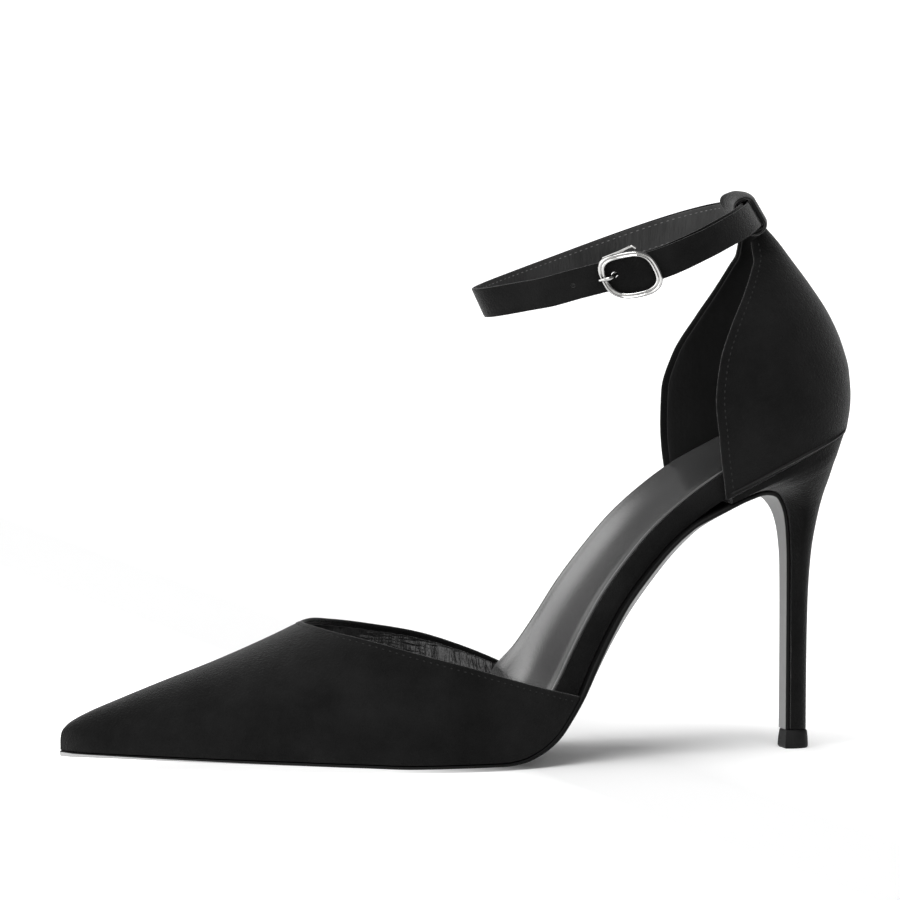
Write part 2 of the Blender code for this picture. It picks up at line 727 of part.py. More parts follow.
def make_strap(parts, cutters):
    start = BUCKLE_ANGLE - math.degrees(FIXED_END_SETBACK / RING_LONG)
    end = STRAP_TIP_ANGLE - 360.0
    half = STRAP_THICK / 2.0
    rings = []
    for i in range(STRAP_RINGS):
        angle = start + (end - start) * i / (STRAP_RINGS - 1)
        step = free_end_step(angle)
        edge = strap_edge(angle)
        rings.append([strap_point(angle, across, step + out)
                      for across, out in ((-edge, -half), (edge, -half), (edge, half), (-edge, half))])
    piece = place("ankle_strap", loft_mesh("ankle_strap", rings), SUEDE, parts)

    depth = 3.0 * STRAP_THICK
    bm = bmesh.new()
    bmesh.ops.create_cone(bm, cap_ends=True, segments=PRONG_HOLE_SIDES, radius1=PRONG_HOLE_RADIUS * MM,
                          radius2=PRONG_HOLE_RADIUS * MM, depth=depth * MM)
    hole = bpy.data.objects.new("prong_hole", mesh_from(bm, "prong_hole"))
    cutters.objects.link(hole)
    centre = buckle_point(-PRONG_HOLE_BACK, 0.0, -STRAP_THICK / 2.0)
    outward = buckle_point(-PRONG_HOLE_BACK, 0.0, 1.0) - centre
    hole.location = centre * MM
    hole.rotation_euler = outward.to_track_quat("Z", "Y").to_euler()
    hole.hide_render = True
    hole.display_type = "WIRE"
    cut = piece.modifiers.new("prong_hole", "BOOLEAN")
    cut.operation = "DIFFERENCE"
    cut.solver = "EXACT"
    cut.object = hole
    return piece


def stadium(half_long, half_thick, corner):
    """Rounded rectangle as (across, out) pairs."""
    points = []
    for quarter_turn in range(4):
        side = (1, 1, -1, -1)[quarter_turn]
        lift = (1, -1, -1, 1)[quarter_turn]
        for step in range(4):
            turn = math.radians(90.0 - 30.0 * step) - quarter_turn * math.pi / 2.0
            points.append((side * (half_long - corner) + corner * math.cos(turn),
                           lift * (half_thick - corner) + corner * math.sin(turn)))
    return points


def loop_rings(outside):
    """Rings along the loop's outside or its hole, closer together at its rolled ends."""
    rings = []
    for i in range(LOOP_RINGS):
        turn = math.pi * (i / (LOOP_RINGS - 1) - 0.5)
        reach = (1.0 + math.sin(turn)) / 2.0
        angle = LOOP_FAR_ANGLE + (LOOP_NEAR_ANGLE - LOOP_FAR_ANGLE) * reach
        rise = 0.0
        widen = STRAP_OVERLAP * smoothstep(LOOP_FAR_ANGLE, LOOP_WIDEN_ANGLE, angle)
        half_wide = LOOP_HOLE_WIDE / 2.0
        half_thick = (LOOP_HOLE_THICK + widen) / 2.0
        corner = LOOP_HOLE_CORNER
        if outside:
            wall = LOOP_END_WALL + (LOOP_WALL - LOOP_END_WALL) * math.sqrt(max(math.cos(turn), 0.0))
            half_wide += wall
            half_thick += wall
            corner = LOOP_ROUND * half_thick
            rise = LOOP_FAR_RISE * (1.0 - reach)
        outline = stadium(half_wide, half_thick, corner)
        rings.append([strap_point(angle, across + (rise if across > 0.0 else 0.0), widen / 2.0 + out)
                      for across, out in outline])
    return rings


def make_strap_loop(parts):
    bm = bmesh.new()
    shells = [skin(bm, loop_rings(outside), closed=True) for outside in (True, False)]
    for end in (0, -1):
        bridge(bm, shells[0][end], shells[1][end], closed=True)
    return place("strap_loop", mesh_from(bm, "strap_loop"), SUEDE, parts)


# Buckle

def wire(name, points, radius, closed, parts):
    """Round wire along points."""
    curve = bpy.data.curves.new(name, "CURVE")
    curve.dimensions = "3D"
    curve.bevel_depth = radius * MM
    curve.bevel_resolution = 2
    curve.use_fill_caps = True
    spline = curve.splines.new("POLY")
    spline.points.add(len(points) - 1)
    for control, point in zip(spline.points, points):
        control.co = (*(point * MM), 1.0)
    spline.use_cyclic_u = closed
    curve.materials.append(finish_material(name, NICKEL))
    piece = bpy.data.objects.new(name, curve)
    parts.objects.link(piece)
    return piece


def make_buckle(parts):
    frame = []
    for i in range(FRAME_POINTS):
        turn = 2.0 * math.pi * i / FRAME_POINTS
        along = math.copysign(abs(math.cos(turn)) ** (2.0 / FRAME_POWER), math.cos(turn))
        across = math.copysign(abs(math.sin(turn)) ** (2.0 / FRAME_POWER), math.sin(turn))
        frame.append(buckle_point(FRAME_HALF_LONG * along, FRAME_HALF_WIDE * across - FRAME_DROP,
                                  GAP + FRAME_WIRE))
    wire("buckle_frame", frame, FRAME_WIRE, True, parts)
    wire("buckle_bar", [buckle_point(0.0, row.across, row.out) for row in BAR], BAR_WIRE, False, parts)
    wire("buckle_prong", [buckle_point(row.along, 0.0, row.out) for row in PRONG], PRONG_WIRE, False, parts)


def main():
    for piece in list(bpy.data.objects):
        bpy.data.objects.remove(piece, do_unlink=True)
    parts = bpy.data.collections.new("ankle_strap_pump")
    cutters = bpy.data.collections.new("cutters")
    for collection in (parts, cutters):
        bpy.context.scene.collection.children.link(collection)
    make_outsole(parts)
    make_footbed(parts)
    make_sock(parts)
    make_vamp(parts)
    make_quarter(parts)
    make_strap_loop(parts)
    make_heel(parts)
    make_heel_tip(parts)
    make_strap(parts, cutters)
    make_buckle(parts)


main()
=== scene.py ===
"""Looks of a pointed ankle-strap pump on a slim high heel: a left shoe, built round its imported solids.

The toe points to -X, the outer side of the foot is -Y, and the shoe stands on the floor z = 0.
Sizes are in millimetres; the meshes are written in metres.
"""
import math
from bisect import bisect
from collections import namedtuple
from functools import cache

import bmesh
import bpy
from mathutils import Matrix, Vector


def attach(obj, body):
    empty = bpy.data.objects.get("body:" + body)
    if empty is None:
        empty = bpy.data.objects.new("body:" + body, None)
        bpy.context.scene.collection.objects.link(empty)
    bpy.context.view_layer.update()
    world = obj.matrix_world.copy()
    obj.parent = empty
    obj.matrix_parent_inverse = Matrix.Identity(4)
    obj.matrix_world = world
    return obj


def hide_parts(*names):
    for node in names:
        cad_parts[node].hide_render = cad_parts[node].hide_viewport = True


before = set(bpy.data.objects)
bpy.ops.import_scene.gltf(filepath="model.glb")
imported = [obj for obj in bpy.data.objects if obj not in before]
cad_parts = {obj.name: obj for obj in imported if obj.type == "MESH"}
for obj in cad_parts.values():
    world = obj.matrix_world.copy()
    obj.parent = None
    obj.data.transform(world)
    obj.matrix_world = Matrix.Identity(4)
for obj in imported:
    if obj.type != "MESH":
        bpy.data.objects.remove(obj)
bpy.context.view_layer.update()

MM = 0.001


def table(columns, rows):
    """Rows of numbers with named columns."""
    return list(map(namedtuple("Row", columns)._make, rows))


# Fits and thicknesses
GAP = 0.3               # between neighbouring pieces
SOLE_THICK = 1.4        # down the heel's front
SOLE_EDGE_CUT = 0.55    # the forefoot's lower edges are cut up by this share of their lift
QUARTER_WALL = 2.0
SOCK_THICK = 1.0
BOARD_INSET = 2.6       # footbed edge inside the outline of the last
SOCK_INSET = 0.7        # sock edge inside the footbed edge
BOARD_TOE = 4.0         # from the tip of the last to the footbed's tip
SOCK_TOE = 9.0          # from the tip of the last to the sock's tip
SOCK_HEEL = 2.0         # the sock ends this much further inside at the heel

# The last: its bottom line and its half-widths on the outer and inner side of the foot
TOE_X = -128.3
LAST = table("x bottom outer inner", (
    (-128.3, 5.75, -3.0, 3.0),
    (-127.8, 5.74, -0.4, 5.6),
    (-126.4, 5.72, 2.2, 7.8),
    (-123.0, 5.65, 5.2, 10.2),
    (-115.0, 5.45, 9.8, 13.8),
    (-100.0, 4.9, 16.4, 18.8),
    (-80.0, 4.1, 23.5, 25.0),
    (-60.0, 3.3, 29.6, 31.0),
    (-40.0, 2.4, 34.4, 36.0),
    (-24.0, 1.7, 36.9, 38.0),
    (-15.0, 1.7, 37.9, 38.0),
    (-6.0, 1.7, 38.0, 37.2),
    (3.0, 1.7, 37.0, 35.2),
    (9.1, 2.5, 35.7, 33.6),
    (15.2, 4.9, 34.0, 31.7),
    (21.9, 9.5, 31.8, 29.6),
    (26.8, 15.5, 30.2, 28.0),
    (30.6, 21.3, 29.1, 27.0),
    (35.2, 30.5, 27.8, 25.9),
    (40.2, 39.7, 26.6, 25.0),
    (46.1, 49.0, 25.4, 24.2),
    (53.4, 58.2, 24.5, 23.6),
    (61.9, 67.4, 23.9, 23.4),
    (69.4, 73.7, 23.7, 23.3),
    (80.6, 81.2, 23.9, 23.6),
    (91.0, 86.5, 24.2, 24.1),
    (100.0, 91.0, 23.9, 23.9),
    (110.0, 95.6, 22.2, 22.2),
    (118.0, 98.6, 18.0, 18.0),
    (123.0, 100.1, 12.6, 12.6),
    (125.6, 100.7, 6.6, 6.6),
    (126.4, 100.9, 0.0, 0.0),
))
EDGE_LIFT = 0.85        # how far the forefoot's side edges stand off the floor
EDGE_FLAT = 0.4         # share of the half-width that stays flat on the floor
LIFT_END_X = 26.0
TIP_CUT = 0.08          # small flat at the very tip of toe and heel
NORMAL_STEP = 0.4       # half the length over which the last's slope is taken
LAST_SOLE_X = 70.0      # behind this the sole leaves the last and turns down the heel

# Thickness of the sole along the foot
SOLE = table("x thick", (
    (-128.3, 0.8),
    (-60.0, 1.4),
    (28.0, 1.5),
    (38.0, 2.0),
    (48.0, 2.4),
    (60.0, 2.1),
    (70.0, 1.7),
))

# Footbed along the foot: thickness, rise of both edges and further rise under the inner arch
BOARD = table("x thick cup arch", (
    (-128.0, 2.4, 0.0, 0.0),
    (-40.0, 2.8, 0.0, 0.0),
    (3.0, 4.0, 0.0, 0.6),
    (14.0, 5.8, 0.1, 2.2),
    (24.0, 7.0, 0.3, 4.0),
    (30.0, 6.8, 0.4, 4.6),
    (35.0, 6.3, 0.5, 2.4),
    (41.0, 6.0, 0.6, 1.5),
    (50.0, 5.8, 0.8, 1.5),
    (62.0, 5.8, 1.0, 1.6),
    (88.0, 5.8, 1.8, 1.2),
    (112.0, 6.2, 2.0, 0.3),
    (126.0, 6.4, 1.2, 0.0),
))

# Vamp: its ridge, carried on past the throat, and the height of its top edge on both sides
RIDGE = table("x z", (
    (-128.3, 9.6),
    (-127.8, 12.2),
    (-126.6, 13.8),
    (-124.6, 15.4),
    (-118.6, 18.4),
    (-111.4, 21.2),
    (-95.3, 27.1),
    (-78.9, 32.7),
    (-63.7, 38.5),
    (-50.0, 44.4),
    (-30.0, 54.0),
    (0.0, 67.5),
    (40.0, 85.5),
))
THROAT_X = -50.0
TOPLINE = table("x outer inner", (
    (-50.0, 44.4, 44.4),
    (-45.0, 43.0, 44.6),
    (-36.0, 40.8, 43.4),
    (-20.0, 36.2, 40.6),
    (-5.0, 32.0, 37.5),
    (8.0, 28.0, 33.3),
    (20.0, 24.5, 28.3),
    (31.0, 21.6, 22.5),
    (40.0, 19.0, 18.0),
))
VAMP_SIDE_POWER = 2.1   # how upright the sides of a section are
VAMP_TOP_POWER = 1.9    # how round its ridge is
RIDGE_TO_INNER = 1.5    # the ridge's shift towards the inner side of the foot
NOSE_INNER_X = 3.4      # from the tip to the end of the hollow
CROWN_START_X = -120.0  # the ridge's shift grows between these two places
CROWN_END_X = -60.0

# Quarter: levels from the seat seam up to the strap loop
QUARTER = table("level outer_x inner_x front_y front_z back_x back_z full peak power", (
    (0, 80.6, 77.0, 23.4, 80.0, 126.1, 100.9, 24.1, 0.36, 2.3),
    (1, 79.4, 75.4, 24.9, 91.0, 127.0, 106.2, 25.4, 0.34, 2.3),
    (2, 77.2, 73.9, 26.0, 102.0, 128.1, 112.7, 26.2, 0.28, 2.3),
    (3, 76.2, 74.2, 25.8, 112.5, 127.7, 119.7, 25.9, 0.22, 2.2),
    (4, 78.0, 77.7, 24.4, 124.5, 125.4, 128.4, 24.4, 0.14, 2.2),
    (5, 82.8, 84.3, 21.4, 136.0, 121.4, 137.3, 21.4, 0.08, 2.1),
    (6, 88.3, 89.7, 17.2, 145.4, 115.2, 146.7, 17.2, 0.05, 2.1),
    (7, 92.2, 92.8, 12.8, 152.4, 109.0, 154.9, 12.8, 0.03, 2.1),
    (8, 94.2, 94.2, 9.2, 156.9, 104.6, 160.7, 9.2, 0.03, 2.1),
    (9, 94.2, 94.2, 6.6, 161.5, 100.4, 165.4, 6.6, 0.03, 2.1),
))
SEAT_CURVE_LEVELS = 2.0     # the seat's curve fades out over these levels

# Heel: front flap of the sole, the heel's back and its half-width, from the seat down
HEEL = table("level flap_x flap_z flap_half back_x back_z full peak power", (
    (0, 83.0, 78.5, 22.9, 125.4, 99.6, 23.9, 0.36, 2.3),
    (1, 88.6, 80.7, 21.8, 124.5, 97.6, 23.4, 0.36, 2.3),
    (2, 94.6, 82.0, 19.0, 123.4, 95.0, 22.3, 0.36, 2.3),
    (3, 99.3, 81.2, 14.6, 122.1, 91.8, 20.0, 0.38, 2.2),
    (4, 102.9, 78.6, 8.8, 120.8, 87.4, 16.4, 0.38, 2.2),
    (5, 105.2, 74.0, 6.0, 119.0, 81.2, 12.2, 0.40, 2.1),
    (6, 106.3, 67.5, 4.6, 117.4, 73.6, 9.2, 0.40, 2.0),
    (7, 106.8, 58.5, 3.9, 115.7, 62.6, 6.9, 0.40, 2.0),
    (8, 106.85, 45.0, 3.7, 114.8, 47.5, 5.4, 0.38, 2.0),
    (9, 106.8, 27.0, 3.6, 114.5, 28.0, 4.7, 0.36, 2.0),
    (10, 106.7, 6.1, 3.6, 114.4, 6.1, 4.5, 0.34, 2.0),
))
SEAT_FRONT_X = 82.6
SEAT_BACK_X = 125.8
SEAT_EASE = 0.1         # a little more room on the seat, which is made of short flats
HEEL_OVER_FLAP = 0.15   # the heel's front edge is a little wider than the flap

# Top piece under the heel
TIP = table("z front back half", (
    (5.8, 107.1, 114.5, 4.3),
    (4.9, 106.9, 114.9, 4.5),
    (0.6, 106.5, 115.2, 4.75),
    (0.0, 106.8, 114.9, 4.45),
))
TIP_FRONT_LESS = 0.7    # its flat front is this much narrower on each side
TIP_PEAK = 0.36
TIP_POWER = 2.2

# Ankle strap: a tilted ellipse, with its free end lying on its fixed end
RING_CENTRE = Vector((50.15, 0.0, 156.2))
RING_TILT = math.radians(16.7)
RING_LONG = 44.8
RING_WIDE = 27.7
RING_EGG = 0.33         # share by which the ring is wider behind than in front
RING_SAG = 1.55         # its sides hang this much lower than its front and back
RING_ROLL = 0.53        # and its outer side stands this much higher than its middle
RING = table("angle rise", (  # the course of its buckled side, up and down from that
    (0.0, 0.0),
    (15.0, 0.5),
    (30.0, 1.0),
    (45.0, 1.1),
    (64.0, 0.3),
    (82.0, -0.45),
    (90.0, -0.3),
    (107.0, 0.65),
    (114.0, 0.65),
    (131.0, 0.0),
    (360.0, 0.0),
))
STRAP_WIDE = 9.8
STRAP_THICK = 1.7
STRAP_OVERLAP = 2.0     # outward step of the free end
LEAN_FRONT = math.radians(25.5)
LEAN_BACK = math.radians(31.0)
BUCKLE_ANGLE = 94.4     # degrees from the back, towards the outer side
STRAP_TIP_ANGLE = -2.0  # the free end is tucked into the loop
STRAP_TIP_LESS = 0.6    # and narrows on each side between these two angles
TAPER_START_ANGLE = 90.0
TAPER_END_ANGLE = 45.0
STEP_START_ANGLE = 145.0
STEP_END_ANGLE = 115.0
FIXED_END_SETBACK = 1.2

# Loop of the quarter over the strap and its free end
LOOP_FAR_ANGLE = -9.8    # its ends, in degrees from the back
LOOP_NEAR_ANGLE = 20.0
LOOP_WALL = 1.7
LOOP_END_WALL = 0.9     # thinner at its rolled ends
LOOP_ROUND = 0.95       # how round its outside is
LOOP_FAR_RISE = 1.0     # its top rises by this towards its far end
LOOP_HOLE_WIDE = 10.6
LOOP_HOLE_THICK = 2.5   # at its inner end, where one layer passes
LOOP_HOLE_CORNER = 0.7
LOOP_WIDEN_ANGLE = -4.0     # from here to its outer end both layers pass

# Buckle
FRAME_HALF_LONG = 7.7
FRAME_HALF_WIDE = 6.8
FRAME_DROP = 0.6        # its middle hangs below the strap's middle
FRAME_POWER = 2.8
FRAME_WIRE = 1.0
BAR_WIRE = 0.7
PRONG_WIRE = 0.65
PRONG_HOLE_BACK = 4.35  # from the middle bar forward to the strap's hole
BAR = table("across out", (
    (-7.2, -0.75),
    (-7.2, -2.3),
    (-6.4, -3.0),
    (5.3, -3.0),
    (6.1, -2.3),
    (6.1, -0.75),
))
PRONG = table("along out", (
    (-1.7, -3.0),
    (-3.1, -2.7),
    (-4.1, -1.5),
    (-4.6, 0.4),
    (-5.2, 2.2),
    (-6.3, 3.2),
    (-7.7, 3.4),
    (-9.0, 3.1),
))

# Looks and fine shapes
MERGE_DISTANCE = 2e-6   # metres
SHARP_ANGLE = 50.0
HALVINGS = 40           # to find the vamp's top edge
STITCH_SIDES = 8
STITCH_RINGS = 6
HOLE_SIDES = 20
HOLE_LONG = 6.0
SUEDE_SHEEN = 0.26
SUEDE_GLOSS = 0.04
SUEDE_DARK = 0.0005
SUEDE_LIGHT = 0.0095
SOCK_GLOSS = 0.6
SOCK_ROUGH = 0.15
SOCK_DARK = 0.016
SOCK_LIGHT = 0.046
SOLE_DARK = 0.27
SOLE_LIGHT = 0.4
# The sole's black edge: partly its stain, partly painted shade where the edge sits in shadow under the
# footbed
STAIN_AND_SHADE_BLACK = 0.003
STAIN_AND_SHADE_FRONT = -0.3      # share of the sole's edge that is left grey at the forefoot, the rest black with stain and painted shade: less than none
STAIN_AND_SHADE_WAIST = 0.42      # and along the waist, but none of it down the heel
STAIN_AND_SHADE_FRONT_X = 0.022   # metres
STAIN_AND_SHADE_WAIST_X = 0.048
STAIN_AND_SHADE_HEEL_X = 0.066
STAIN_AND_SHADE_FLAP_X = 0.08
FACE_SHARE = 0.45       # share of a slab's section that each face takes, the rest being its edges
EDGE_POWER = 0.4        # how full a slab's edge is
SLAB_COLUMNS = 120
OUTSOLE_ROWS = 220
OUTSOLE_ROUND = 0.35    # how far a slab's faces stop short of its rounded edges
FOOTBED_ROUND = 0.9
SOCK_ROUND = 0.3
INNER_SHEET_ROWS = 200
SOLE_STATIONS = 90
SOLE_SLOPE = 1.0        # half the length over which the sole's slope is taken
FLAP_STATIONS = 41
TOE_STATION_POWER = 1.15
SHEET_STATIONS = 120
END_STEP_KEEP = 0.1
LEAST_HALF_SHARE = 0.2
FOOTBED_SWELL = 0.2
SOCK_OVER_FOOTBED = 0.05
SOCK_ROLL_START = 0.75  # the sock's edges roll down from this share of its half-width
SOCK_ROLL_OUTER = 0.38
SOCK_ROLL_INNER = 0.35
VAMP_COLUMNS = 192
RAY_NUDGE = 0.02        # half the angle, and the length, over which the vamp's slopes are taken
RAY_STEP = 0.5
LEAST_SLANT = 0.2
VAMP_ROWS = 110
VAMP_LINING_ROWS = 260
LAYER_SHARE = 0.48
LAYER_COLUMNS = 360
VAMP_ROLL_START = 0.93
VAMP_STEP_KEEP = 0.15
NOSE_ROUND_SHARE = 0.05
VAMP_FOLD = 1.5
LAYER_GAP = 0.03        # between suede and lining
LINING_DROP = 1.1
LINING_THICK = 0.45
LINING_NOSE = 2.0
LINING_SAG = 2.6        # the lining hangs this far off the wall, this far under its edge
LINING_SAG_DROP = 7.0
WRINKLES = table("x lean half depth", (
    (-27.0, 3.0, 1.1, 0.22),
    (-22.5, -2.0, 0.9, 0.3),
    (-18.6, 4.0, 1.0, 0.34),
    (-15.0, -3.0, 0.8, 0.3),
    (-11.8, 2.0, 0.9, 0.4),
    (-8.0, -4.0, 1.0, 0.36),
    (-4.8, 3.0, 0.8, 0.3),
    (-1.0, -2.0, 1.0, 0.38),
    (3.0, 3.0, 0.9, 0.3),
    (6.6, -3.0, 1.0, 0.3),
    (11.0, 2.0, 1.2, 0.22),
))
WRINKLE_DEPTH = 1.4
WRINKLE_ANGLE = 0.8 * math.pi       # where a wrinkle passes its x
LOOSE_START_ANGLE = 0.5 * math.pi   # the lining is loose on the inner side only
LOOSE_FULL_ANGLE = 0.62 * math.pi
STITCH_DROP = 2.0
VAMP_STITCH_PITCH = 2.2
VAMP_STITCH = (0.85, 0.38, 0.26)    # length, width and height of a stitch
VAMP_STITCH_OUT = 0.06
WALL_SHARE = 0.47
QUARTER_COLUMNS = 240
QUARTER_LINING_COLUMNS = 200
QUARTER_ROWS = 90
QUARTER_EDGE = 0.99     # share of the way round to the front that the wall reaches before its rounded edge
QUARTER_LINING_EDGE = 0.972
SLOPE_SHARE = 0.004     # half the steps over which the quarter's slopes are taken
SLOPE_LEVEL = 0.02
QUARTER_FOLD = 1.4
STITCH_DROP_QUARTER = 1.9
QUARTER_STITCH_PITCH = 2.0
QUARTER_STITCH = (1.0, 0.42, 0.2)
QUARTER_STITCH_OUT = 0.04
QUARTER_STITCH_POINTS = 100     # along each front edge, and the ones where its stitches start and end
QUARTER_STITCH_FIRST = 4
QUARTER_STITCH_LAST = 97
RING_SIDE_SHARE = 0.45
HEEL_COLUMNS = 120
HEEL_LEVELS = 120
HEEL_SEAT_ROWS = 3
TIP_COLUMNS = 96
TIP_ROWS = 30
TIP_STEP_KEEP = 0.4
STRAP_SLOPE = 0.5       # half the angle over which the strap's direction is taken
STRAP_COLUMNS = 48
STRAP_ROWS = 420
STRAP_LINING_INSET = 0.2
STRAP_LAYER_GAP = 0.02
BAND_POWER = 10.0
STRAP_TIP_ROUND = 6.0
STRAP_TIP_NARROW = 0.75
PRONG_HOLE_LOOK = 1.1
SPARE_HOLE = 0.75
SPARE_HOLE_BACK = 17.4
STRAP_STITCH_IN = 1.4
STRAP_STITCH = (1.0, 0.27, 0.2)
STRAP_STITCH_PITCH = 2.0
STRAP_STITCH_OUT = 0.02
STRAP_STITCH_MARGIN = 6.0   # degrees left bare at both ends
STRAP_STITCH_POINTS = 400
TAB_DROP = 2.3          # the sewn end behind the buckle hangs lower than the strap
TAB_FULL_ANGLE = 7.0    # in full as far as this on both sides, fading out between these two angles
TAB_END_ANGLE = 11.0
LOOP_COLUMNS = 96
LOOP_ROWS = 80
LOOP_SHARE = 0.44
LOOP_END_ANGLE = 0.9
FRAME_SLOPE = 0.01
FRAME_COLUMNS = 28
FRAME_ROWS = 144
FRAME_BAND = 1.0
FRAME_GROOVE = 0.5
FRAME_GROOVE_HALF = 0.3
WIRE_SLOPE = 0.05
WIRE_COLUMNS = 20
WIRE_ROWS = 60
BAR_END_ROWS = 40
PRONG_TAPER = 0.45
PRONG_TAPER_START = 0.8
BAR_END = table("along across", (  # straight end of the bar along the frame's upper side
    (-5.2, 6.4),
    (0.2, 7.5),
    (4.4, 8.3),
    (5.2, 7.3),
))
BAR_END_WIRE = 0.42
BAR_END_OUT = 0.9

# Floor, light and camera
FLOOR_HALF = 9.0        # metres
FLOOR_CELLS = 40
FLOOR_DARK = 0.86
FLOOR_LIGHT = 0.88
FLOOR_PAINTED_LIGHT_TOE = 0.7    # painted light: the floor glows under the toe to lift the shoe's shadow there, and not behind the ball
FLOOR_PAINTED_LIGHT_HEEL = 0.35  # and again behind the heel, where the painted light lifts the shadow as well
FLOOR_GLOW_TOE_X = -0.03    # metres; it fades out between these places and comes back between those
FLOOR_GLOW_BALL_X = 0.015
FLOOR_GLOW_WAIST_X = 0.06
FLOOR_GLOW_HEEL_X = 0.13
SUN_STRENGTH = 1.4
SUN_ANGLE = 28.0
SUN_FROM = Vector((-0.1, -0.37, 1.0))
SKY_LOW = 0.13          # brightness of the room near the floor and overhead
SKY_HIGH = 0.18
SKY_LOW_RISE = 0.12     # as the sine of the height above the horizon
SKY_HIGH_RISE = 0.45
# Soft bright panels: the way to each, and how far they spread, as cosines
PANELS = table("x y z rim middle strength", (
    (-0.432, 0.779, 0.454, 0.9636, 0.989, 2.6),
    (-0.85, -0.14, 0.5, 0.7, 0.92, 2.8),
    (-0.02, -0.96, 0.27, 0.92, 0.98, 1.6),
))
SENSOR = 36.0
CAMERA_AZIMUTH = -16.5
CAMERA_ELEVATION = 4.8
CAMERA_DISTANCE = 3000.0
CAMERA_FIELD = 281.6
CAMERA_REACH = 100.0    # metres
CAMERA_TARGET = Vector((-3.0, 0.0, 97.2))


class Profile:
    """A smooth curve through one column of a table, without overshoot."""

    def __init__(self, rows, along, column):
        self.at = [getattr(row, along) for row in rows]
        self.value = [getattr(row, column) for row in rows]
        spans = range(len(rows) - 1)
        steps = [(self.value[i + 1] - self.value[i]) / (self.at[i + 1] - self.at[i]) for i in spans]
        self.slope = [steps[0]]
        for before, after in zip(steps, steps[1:]):
            turning = before * after <= 0.0
            self.slope.append(0.0 if turning else 2.0 * before * after / (before + after))
        self.slope.append(steps[-1])

    def __call__(self, at):
        at = min(max(at, self.at[0]), self.at[-1])
        i = min(max(bisect(self.at, at) - 1, 0), len(self.at) - 2)
        span = self.at[i + 1] - self.at[i]
        t = (at - self.at[i]) / span
        start = self.value[i] * (1.0 + 2.0 * t) + self.slope[i] * span * t
        end = self.value[i + 1] * (3.0 - 2.0 * t) - self.slope[i + 1] * span * (1.0 - t)
        return start * (1.0 - t) ** 2 + end * t ** 2


last_bottom = Profile(LAST, "x", "bottom")
last_outer = Profile(LAST, "x", "outer")
last_inner = Profile(LAST, "x", "inner")
sole_thick = Profile(SOLE, "x", "thick")
board_thick = Profile(BOARD, "x", "thick")
board_cup = Profile(BOARD, "x", "cup")
board_arch = Profile(BOARD, "x", "arch")
ridge_z = Profile(RIDGE, "x", "z")
topline_outer = Profile(TOPLINE, "x", "outer")
topline_inner = Profile(TOPLINE, "x", "inner")
ring_rise = Profile(RING, "angle", "rise")
quarter = {name: Profile(QUARTER, "level", name) for name in QUARTER[0]._fields[1:]}
heel = {name: Profile(HEEL, "level", name) for name in HEEL[0]._fields[1:]}


def smoothstep(start, end, at):
    """0 before start, 1 after end, and a soft rise between."""
    t = min(max((at - start) / (end - start), 0.0), 1.0)
    return t * t * (3.0 - 2.0 * t)


def lengths_along(points):
    """Length of a path up to each of its points."""
    lengths = [0.0]
    for a, b in zip(points, points[1:]):
        lengths.append(lengths[-1] + math.dist(a, b))
    return lengths


def there_and_back(u, share):
    """Way round a thin section, u from 0 to 1: out on one face, over an edge, back on the other face.

    Gives the reach along the faces and the turn from one face to the other, each from 0 to 1.
    """
    edge = 0.5 - share
    if u < share:
        return u / share, 0.0
    if u < 0.5:
        return 1.0, (u - share) / edge
    if u < 0.5 + share:
        return 1.0 - (u - 0.5) / share, 1.0
    return 0.0, 1.0 - (u - 0.5 - share) / edge


def horseshoe(u, front, full, peak, power):
    """Half-width of a U-shaped outline, with u from 0 at its open front to 1 at its back."""
    if u < peak:
        return front + (full - front) * math.sin(0.5 * math.pi * u / peak)
    return full * math.sqrt(max(0.0, 1.0 - ((u - peak) / (1.0 - peak)) ** power))


# The last

def edge_lift(x, v):
    """Rise of the forefoot's edges, with v from -1 at the outer edge to 1 at the inner one."""
    share = max(0.0, (abs(v) - EDGE_FLAT) / (1.0 - EDGE_FLAT))
    return EDGE_LIFT * share ** 2 * (1.0 - smoothstep(0.0, LIFT_END_X, x))


def last_normal(x):
    """Upward normal of the last's bottom line."""
    step = NORMAL_STEP
    rise = last_bottom(x + step) - last_bottom(x - step)
    run = min(x + step, LAST[-1].x) - max(x - step, TOE_X)
    return Vector((-rise, 0.0, run)).normalized()


def last_point(x, v, outer, inner, above):
    """Point over the last's bottom line, between -outer and inner across the foot."""
    middle = (inner - outer) / 2.0
    half = (inner + outer) / 2.0
    base = Vector((x, middle + half * v, last_bottom(x) + edge_lift(x, v)))
    return base + last_normal(x) * above


def last_stations(first, final, count):
    """Places along the last, evenly spread over its curved length."""
    fine = 400
    xs = [first + (final - first) * i / fine for i in range(fine + 1)]
    travel = lengths_along([(x, last_bottom(x)) for x in xs])
    stations = []
    for i in range(count):
        target = travel[-1] * i / (count - 1)
        k = min(max(bisect(travel, target) - 1, 0), fine - 1)
        share = (target - travel[k]) / (travel[k + 1] - travel[k])
        stations.append(xs[k] + (xs[k + 1] - xs[k]) * min(share, 1.0))
    return stations


def inset_width(width, inset):
    """Half-width drawn in by an inset that fades out at the tips."""
    return width - inset * min(1.0, abs(width) / (3.0 * inset))


def board_top(x, v):
    """Height of the footbed's upper face over the last's bottom line."""
    return board_thick(x) + board_cup(x) * v ** 2 + board_arch(x) * max(v, 0.0) ** 2


